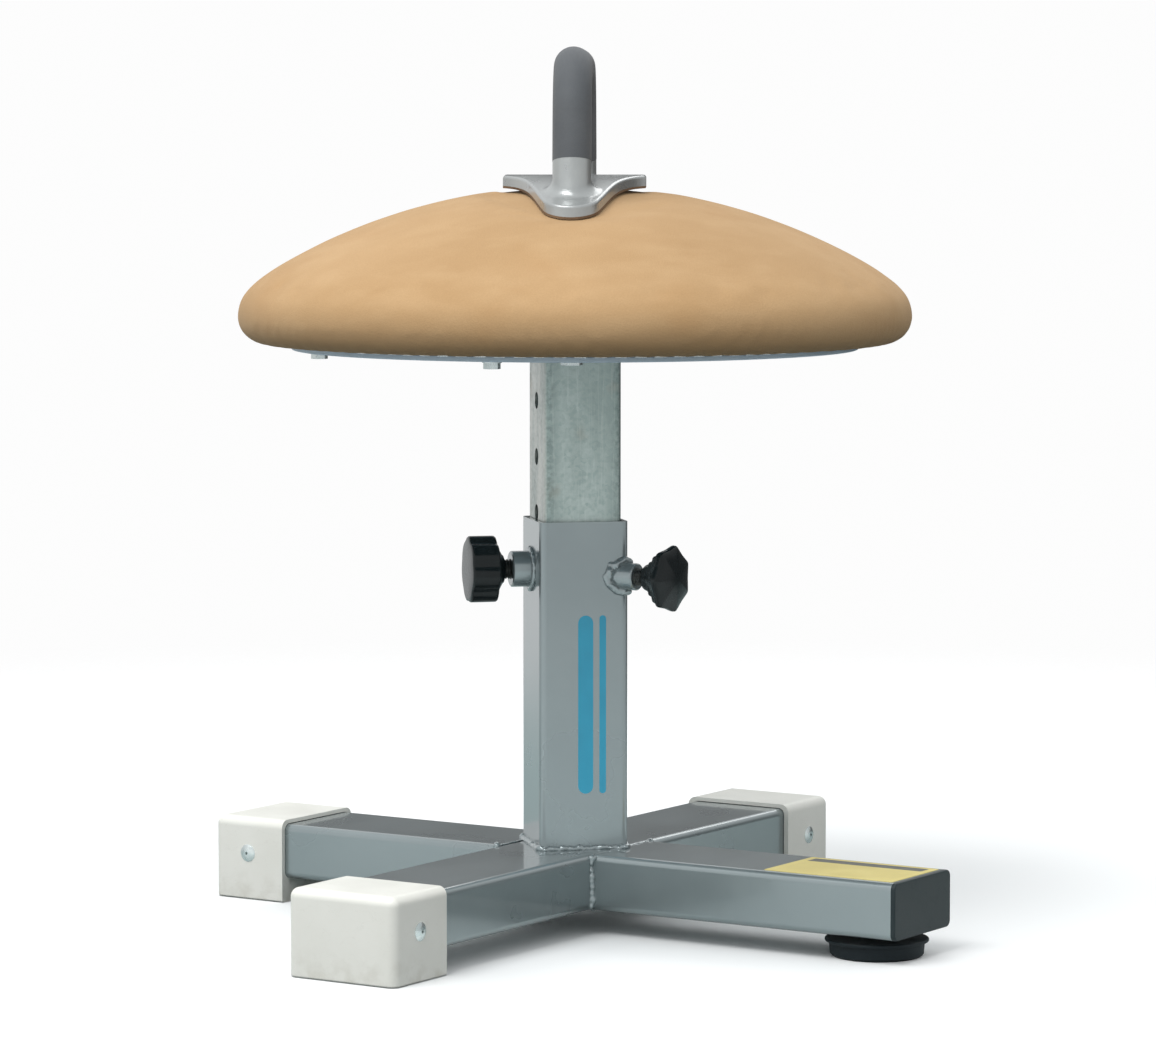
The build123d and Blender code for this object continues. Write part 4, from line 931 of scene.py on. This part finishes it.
def outline_distance(points):
    """How far each point is outside the body's outline, and the way out there."""
    radius = np.maximum(np.hypot(points[:, 0], points[:, 1]), 1e-9)
    level = points[:, 2]
    zero = np.zeros_like(radius)
    on_dome = np.arctan2(radius, level - DOME_CENTRE) <= DOME_ANGLE
    on_edge = ~on_dome & (level >= RIM_LEVEL)
    on_lower = ~on_dome & ~on_edge & (radius >= BODY_RADIUS - LOWER_RADIUS)
    regions = [on_dome, on_edge, on_lower]
    centre_radius = np.select(
        regions, [zero, zero + BODY_RADIUS - EDGE_RADIUS, zero + BODY_RADIUS - LOWER_RADIUS], radius)
    centre_level = np.select(
        regions, [zero + DOME_CENTRE, zero + RIM_LEVEL, zero + RIM_LEVEL], zero + BODY_BOTTOM + 1.0)
    bend = np.select(regions, [DOME_RADIUS + zero, EDGE_RADIUS + zero, LOWER_RADIUS + zero], 1.0)
    out_radius, out_level = radius - centre_radius, level - centre_level
    length = np.maximum(np.hypot(out_radius, out_level), 1e-9)
    out_radius, out_level = out_radius / length, out_level / length
    way = np.column_stack([
        out_radius * points[:, 0] / radius, out_radius * points[:, 1] / radius, out_level])
    return length - bend, way


print("rim level", round(RIM_LEVEL, 5), "dome centre", round(DOME_CENTRE, 5))

# %% Start form, slightly small
SWELL_ROOM, BOTTOM_ROOM = 0.0025, 0.0004
CELL = 0.006
AROUND_COVER = 144
FACING_DOWN = -0.999                             # the way out, on the flat bottom


def outline_profile():
    """Radius and level down the body's outline, from the crown to the bottom."""
    profile = []
    for step in range(1, 61):
        angle = DOME_ANGLE * step / 60
        profile.append((DOME_RADIUS * math.sin(angle), DOME_CENTRE + DOME_RADIUS * math.cos(angle)))
    for step in range(1, 17):
        angle = DOME_ANGLE + (math.pi / 2 - DOME_ANGLE) * step / 16
        profile.append((
            BODY_RADIUS - EDGE_RADIUS + EDGE_RADIUS * math.sin(angle),
            RIM_LEVEL + EDGE_RADIUS * math.cos(angle)))
    for step in range(1, 17):
        angle = math.pi / 2 * (1 + step / 16)
        profile.append((
            BODY_RADIUS - LOWER_RADIUS + LOWER_RADIUS * math.sin(angle),
            RIM_LEVEL + LOWER_RADIUS * math.cos(angle)))
    profile += [(0.20, BODY_BOTTOM), (0.12, BODY_BOTTOM), (0.04, BODY_BOTTOM)]
    return profile


rings = []
for radius, level in outline_profile():
    angles = [2 * math.pi * i / AROUND_COVER for i in range(AROUND_COVER)]
    rings.append([(radius * math.cos(a), radius * math.sin(a), level) for a in angles])
cover = join_rings("suede_cover", rings, (0, 0, cover_high.z), (0, 0, BODY_BOTTOM))
remesh = cover.modifiers.new("even_squares", "REMESH")
remesh.mode = "VOXEL"
remesh.voxel_size = CELL


def read_points(piece):
    """A piece's points as an array."""
    points = np.zeros(len(piece.data.vertices) * 3)
    piece.data.vertices.foreach_get("co", points)
    return points.reshape(-1, 3)


def write_points(piece, points):
    """Sets a piece's points from an array."""
    piece.data.vertices.foreach_set("co", points.astype(np.float32).ravel())
    piece.data.update()


keep_result(cover)
points = read_points(cover)
for _ in range(2):
    distance, way = outline_distance(points)
    sunk = np.where(way[:, 2] < FACING_DOWN, BOTTOM_ROOM, SWELL_ROOM)
    points = points - way * (distance + sunk)[:, None]
write_points(cover, points)
print("start form:", len(points), "points")

# %% [markdown]
# ### Where the cover is held
# The saddle is a plate bent one way only, so it touches the dome along its middle and stands a
# few millimetres clear at its wings. Where it lies close, the suede can't rise past it.

# %% Room under the saddle
POMMEL_ANGLE = math.radians(-103.6)
SADDLE_LENGTH, SADDLE_WIDTH, SADDLE_FADE = 0.160, 0.062, 0.020


def saddle_cover(points):
    """How fully the saddle lies over each point, from 0 to 1, and how far off its middle line."""
    lengthways = points[:, 0] * math.cos(POMMEL_ANGLE) + points[:, 1] * math.sin(POMMEL_ANGLE)
    sideways = -points[:, 0] * math.sin(POMMEL_ANGLE) + points[:, 1] * math.cos(POMMEL_ANGLE)
    half_width = np.interp(np.abs(lengthways), [0, 0.026, 0.065, 0.092, 0.120, 0.143, SADDLE_LENGTH],
                           [SADDLE_WIDTH, SADDLE_WIDTH, 0.045, 0.0375, 0.031, 0.024, 0.006])
    outside = np.maximum(np.abs(sideways) - half_width, np.abs(lengthways) - SADDLE_LENGTH)
    share = np.clip(1.0 - outside / SADDLE_FADE, 0.0, 1.0)
    above = points[:, 2] > RIM_LEVEL
    return np.where(above, share * share * (3 - 2 * share), 0.0), sideways


covered, _ = saddle_cover(points)
held = (covered > 0.98) | (points[:, 2] < BODY_BOTTOM + 0.002)
print("held points:", int(held.sum()))

# %% Blow the cover up
FRAMES = 20


def blow_up(piece, held):
    """Swells a piece with a short cloth simulation, with the held points kept still."""
    pins = piece.vertex_groups.new(name="held")
    pins.add([int(i) for i in np.nonzero(held)[0]], 1.0, "REPLACE")
    cloth = piece.modifiers.new("swell", "CLOTH")
    cloth.settings.quality = 4
    cloth.settings.mass = 0.3
    cloth.settings.tension_stiffness = 20.0
    cloth.settings.compression_stiffness = 20.0
    cloth.settings.shear_stiffness = 8.0
    cloth.settings.bending_stiffness = 2.0
    cloth.settings.vertex_group_mass = "held"
    cloth.settings.use_pressure = True
    cloth.settings.uniform_pressure_force = 4.0
    cloth.settings.effector_weights.gravity = 0.0
    cloth.collision_settings.use_collision = False
    cloth.point_cache.frame_start, cloth.point_cache.frame_end = 1, FRAMES
    for frame_number in range(1, FRAMES + 1):
        scene.frame_set(frame_number)
    keep_result(piece)
    piece.vertex_groups.clear()
    scene.frame_set(1)


blow_up(cover, held)
swollen = read_points(cover)
moved = np.linalg.norm(swollen - points, axis=1)
print("swelling before the cap, mm: mean", round(1000 * moved.mean(), 2),
      "most", round(1000 * moved.max(), 2))
points = swollen

# %% Cap the swelling
PROUD, SOFTNESS = 0.0014, 0.003
distance, way = outline_distance(points)
raised = np.where(way[:, 2] < FACING_DOWN, distance, -SWELL_ROOM + np.clip(distance + SWELL_ROOM, 0, None))
raised = PROUD * np.tanh(raised / SOFTNESS)
covered, sideways = saddle_cover(points)
gap = sideways ** 2 / (2 * DOME_RADIUS) - 0.0003
pressed = np.minimum(raised, gap)
raised = raised * (1 - covered) + pressed * covered
raised = np.where(way[:, 2] < FACING_DOWN, -BOTTOM_ROOM, raised)
points = points + way * (raised - distance)[:, None]
write_points(cover, points)
finer = cover.modifiers.new("finer", "SUBSURF")
finer.levels = finer.render_levels = 1
keep_result(cover)
print("cover after one subdivision:", len(cover.data.polygons), "faces")

# %% [markdown]
# ### Hand-stretched unevenness and the hem
# An upholsterer pulls the suede down over the edge and staples it underneath. The top keeps a
# faint hand-made unevenness, and the turned-under edge gathers into small pleats that run
# towards the middle.

# %% Unevenness and pleats
PLEATS, PLEAT_DEPTH = 84, 0.0007
points = read_points(cover)
distance, way = outline_distance(points)
covered, _ = saddle_cover(points)
wave = np.array([noise.fractal(Vector(p) * 9.0, 0.8, 2.0, 3) for p in points])
uneven = 0.00042 * np.clip(wave, -1, 1) * (1 - covered) * (way[:, 2] > -0.2)
angle = np.arctan2(points[:, 1], points[:, 0])
radius = np.hypot(points[:, 0], points[:, 1])
fade_in = np.clip((0.297 - radius) / 0.012, 0, 1) * np.clip((radius - 0.253) / 0.006, 0, 1)
jitter = np.array([noise.noise(Vector((math.cos(a) * 3, math.sin(a) * 3, 0.3))) for a in angle])
pleat = np.abs(np.sin(angle * PLEATS / 2 + 4 * jitter)) ** 0.6 - 1.0
underneath = np.clip((RIM_LEVEL - 0.008 - points[:, 2]) / 0.010, 0, 1)
points = points + way * (uneven + PLEAT_DEPTH * pleat * fade_in * underneath)[:, None]
write_points(cover, points)
shade_smooth(cover)
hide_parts("dome_cover")
hand_over(cover, "carriage", suede)
print("cover box:", [round(v, 4) for v in points.min(0)], [round(v, 4) for v in points.max(0)])

# %% [markdown]
# ## Staples under the hem
# The hem is stapled to the board all round, just outside the mounting disc. A second tree puts
# a short wire at each point of a circle, turned to lie along it, with a small random turn so
# that they look hand driven.

# %% Staple tree
staple_tree, given, result = new_group(
    "staple_ring", "GeometryNodeTree",
    [("Base", GEOMETRY, None), ("Count", INTEGER, 96), ("Ring Radius", FLOAT, 0.26), ("Level", FLOAT, 0.52),
     ("Crown", VECTOR, (0.0009, 0.010, 0.0007)), ("Seed", INTEGER, 4), ("Finish", MATERIAL, None)],
    [("Staples", GEOMETRY)],
)
circle = add_node(staple_tree, "GeometryNodeMeshCircle", {
    "Vertices": given.outputs["Count"], "Radius": given.outputs["Ring Radius"]})
lift = add_node(staple_tree, "ShaderNodeCombineXYZ", {"Z": given.outputs["Level"]})
raised_circle = add_node(staple_tree, "GeometryNodeSetPosition", {
    "Geometry": circle.outputs["Mesh"], "Offset": lift.outputs["Vector"]})
wire = add_node(staple_tree, "GeometryNodeMeshCube", {"Size": given.outputs["Crown"]})
share = arithmetic(staple_tree, "DIVIDE", add_node(staple_tree, "GeometryNodeInputIndex").outputs["Index"],
                   given.outputs["Count"])
skew = add_node(staple_tree, "FunctionNodeRandomValue", {2: -0.16, 3: 0.16, "Seed": given.outputs["Seed"]})
turn = arithmetic(
    staple_tree, "ADD", multiply(staple_tree, share, 2 * math.pi), skew.outputs[1])
facing = add_node(staple_tree, "ShaderNodeCombineXYZ", {"Z": turn})
driven = add_node(staple_tree, "GeometryNodeInstanceOnPoints", {
    "Points": raised_circle.outputs["Geometry"], "Instance": wire.outputs["Mesh"],
    "Rotation": facing.outputs["Vector"]})
real = add_node(staple_tree, "GeometryNodeRealizeInstances", {"Geometry": driven.outputs["Instances"]})
plated = add_node(staple_tree, "GeometryNodeSetMaterial", {
    "Geometry": real.outputs["Geometry"], "Material": given.outputs["Finish"]})
staple_tree.links.new(plated.outputs["Geometry"], result.inputs["Staples"])
staples = grow(add_piece("hem_staples", [(0, 0, 0)], []), staple_tree, Count=96, Finish=zinc, Seed=4,
               **{"Ring Radius": 0.2605, "Level": BODY_BOTTOM - 0.0001})
hand_over(staples, "carriage")

# %% [markdown]
# ## Floor and light
# A plain pale floor and a pale surround keep attention on the object. A large soft key light
# comes from the upper left, a weak rim light from behind on the right, and the surround fills
# the rest. The floor looks pale, but sends back only a little cool light, so the underside of
# the dome stays dark enough to read. Gloss on the legs needs something bright to mirror, so
# mirrored rays see a lighter floor, darker towards the back. The floor fades out before its
# edge would show. The surround looks plain and pale, but it lights the object more from the
# left than from the right, and hardly at all from below.

# %% Floor
FLOOR_CLEAR, FLOOR_END = 0.9, 2.6
floor_points = [
    (FLOOR_END * math.cos(2 * math.pi * i / 96), FLOOR_END * math.sin(2 * math.pi * i / 96), -0.0002)
    for i in range(96)]
floor = add_piece("studio_floor", floor_points, [tuple(range(96))])
floor_paint, tree, shader = start_finish("pale_floor", Roughness=0.9)
shader.inputs["Specular IOR Level"].default_value = 0.0
ray = add_node(tree, "ShaderNodeLightPath").outputs
place = object_place(tree)
depth = remap(tree, one_axis(tree, place, "Y"), -0.05, 0.35)
mirrored = blend_colours(tree, depth, (0.86, 0.92, 0.92), (0.34, 0.42, 0.42))
diffuse = arithmetic(tree, "SUBTRACT", 1.0, ray["Is Glossy Ray"])
unseen = blend_colours(tree, diffuse, mirrored, (0.045, 0.062, 0.065))
feed(tree, shader, Base_Color=blend_colours(tree, ray["Is Camera Ray"], unseen, (0.93, 0.94, 0.94)))
reach = add_node(tree, "ShaderNodeVectorMath", {0: place}, operation="LENGTH").outputs["Value"]
faded_out = add_node(tree, "ShaderNodeMixShader", {
    0: remap(tree, reach, FLOOR_CLEAR, FLOOR_END - 0.2, ease="SMOOTHSTEP"), 1: shader.outputs[0],
    2: add_node(tree, "ShaderNodeBsdfTransparent").outputs[0]})
tree.links.new(faded_out.outputs[0], tree.nodes["Material Output"].inputs["Surface"])
floor.data.materials.append(floor_paint)
print("floor fades out at", FLOOR_END, "m")

# %% Surround and lights
world = bpy.data.worlds.new("pale_surround")
scene.world = world
world.use_nodes = True
tree = world.node_tree
tree.nodes.clear()
direction = add_node(
    tree, "ShaderNodeSeparateXYZ", {"Vector": add_node(tree, "ShaderNodeTexCoord").outputs["Generated"]})
sideways, forwards, upwards = (direction.outputs[axis] for axis in "XYZ")


def between(tree, share, first, second):
    """A number from the first at share 0 to the second at share 1."""
    return arithmetic(
        tree, "ADD", first, multiply(tree, share, arithmetic(tree, "SUBTRACT", second, first)))


behind = remap(tree, sideways, 0.10, -0.10, 0.10, 0.84, "SMOOTHSTEP")
in_front = remap(tree, sideways, -1.0, 1.0, 1.25, 0.75)
horizon = between(tree, remap(tree, forwards, -0.25, 0.25, ease="SMOOTHSTEP"), in_front, behind)
overhead = remap(tree, sideways, -1.0, 1.0, 1.10, 0.85)
brightness = between(tree, remap(tree, upwards, 0.10, 0.55, ease="SMOOTHSTEP"), horizon, overhead)
brightness = multiply(tree, brightness, remap(tree, upwards, -0.40, -0.10, 0.10, 1.0))
fill = add_node(tree, "ShaderNodeBackground", {"Color": (0.97, 0.99, 1.0, 1.0), "Strength": brightness})
seen_pale = add_node(tree, "ShaderNodeBackground", {"Color": (0.98, 0.98, 0.98, 1.0), "Strength": 1.0})
to_camera = add_node(tree, "ShaderNodeLightPath").outputs["Is Camera Ray"]
choice = add_node(
    tree, "ShaderNodeMixShader", {0: to_camera, 1: fill.outputs[0], 2: seen_pale.outputs[0]})
add_node(tree, "ShaderNodeOutputWorld", {"Surface": choice.outputs[0]})


def soft_light(name, place, size, power):
    """A large square light that faces the middle of the object."""
    light = bpy.data.lights.new(name, "AREA")
    light.shape = "SQUARE"
    light.size = size
    light.energy = power
    lamp = bpy.data.objects.new(name, light)
    lamp.location = place
    lamp.rotation_euler = (Vector((0, 0, 0.4)) - Vector(place)).to_track_quat("-Z", "Y").to_euler()
    scene.collection.objects.link(lamp)


soft_light("key_light", (-1.9, -1.6, 4.2), 2.4, 110.0)
soft_light("rim_light", (1.6, 2.8, 2.6), 1.6, 14.0)
scene.view_settings.view_transform = "Standard"
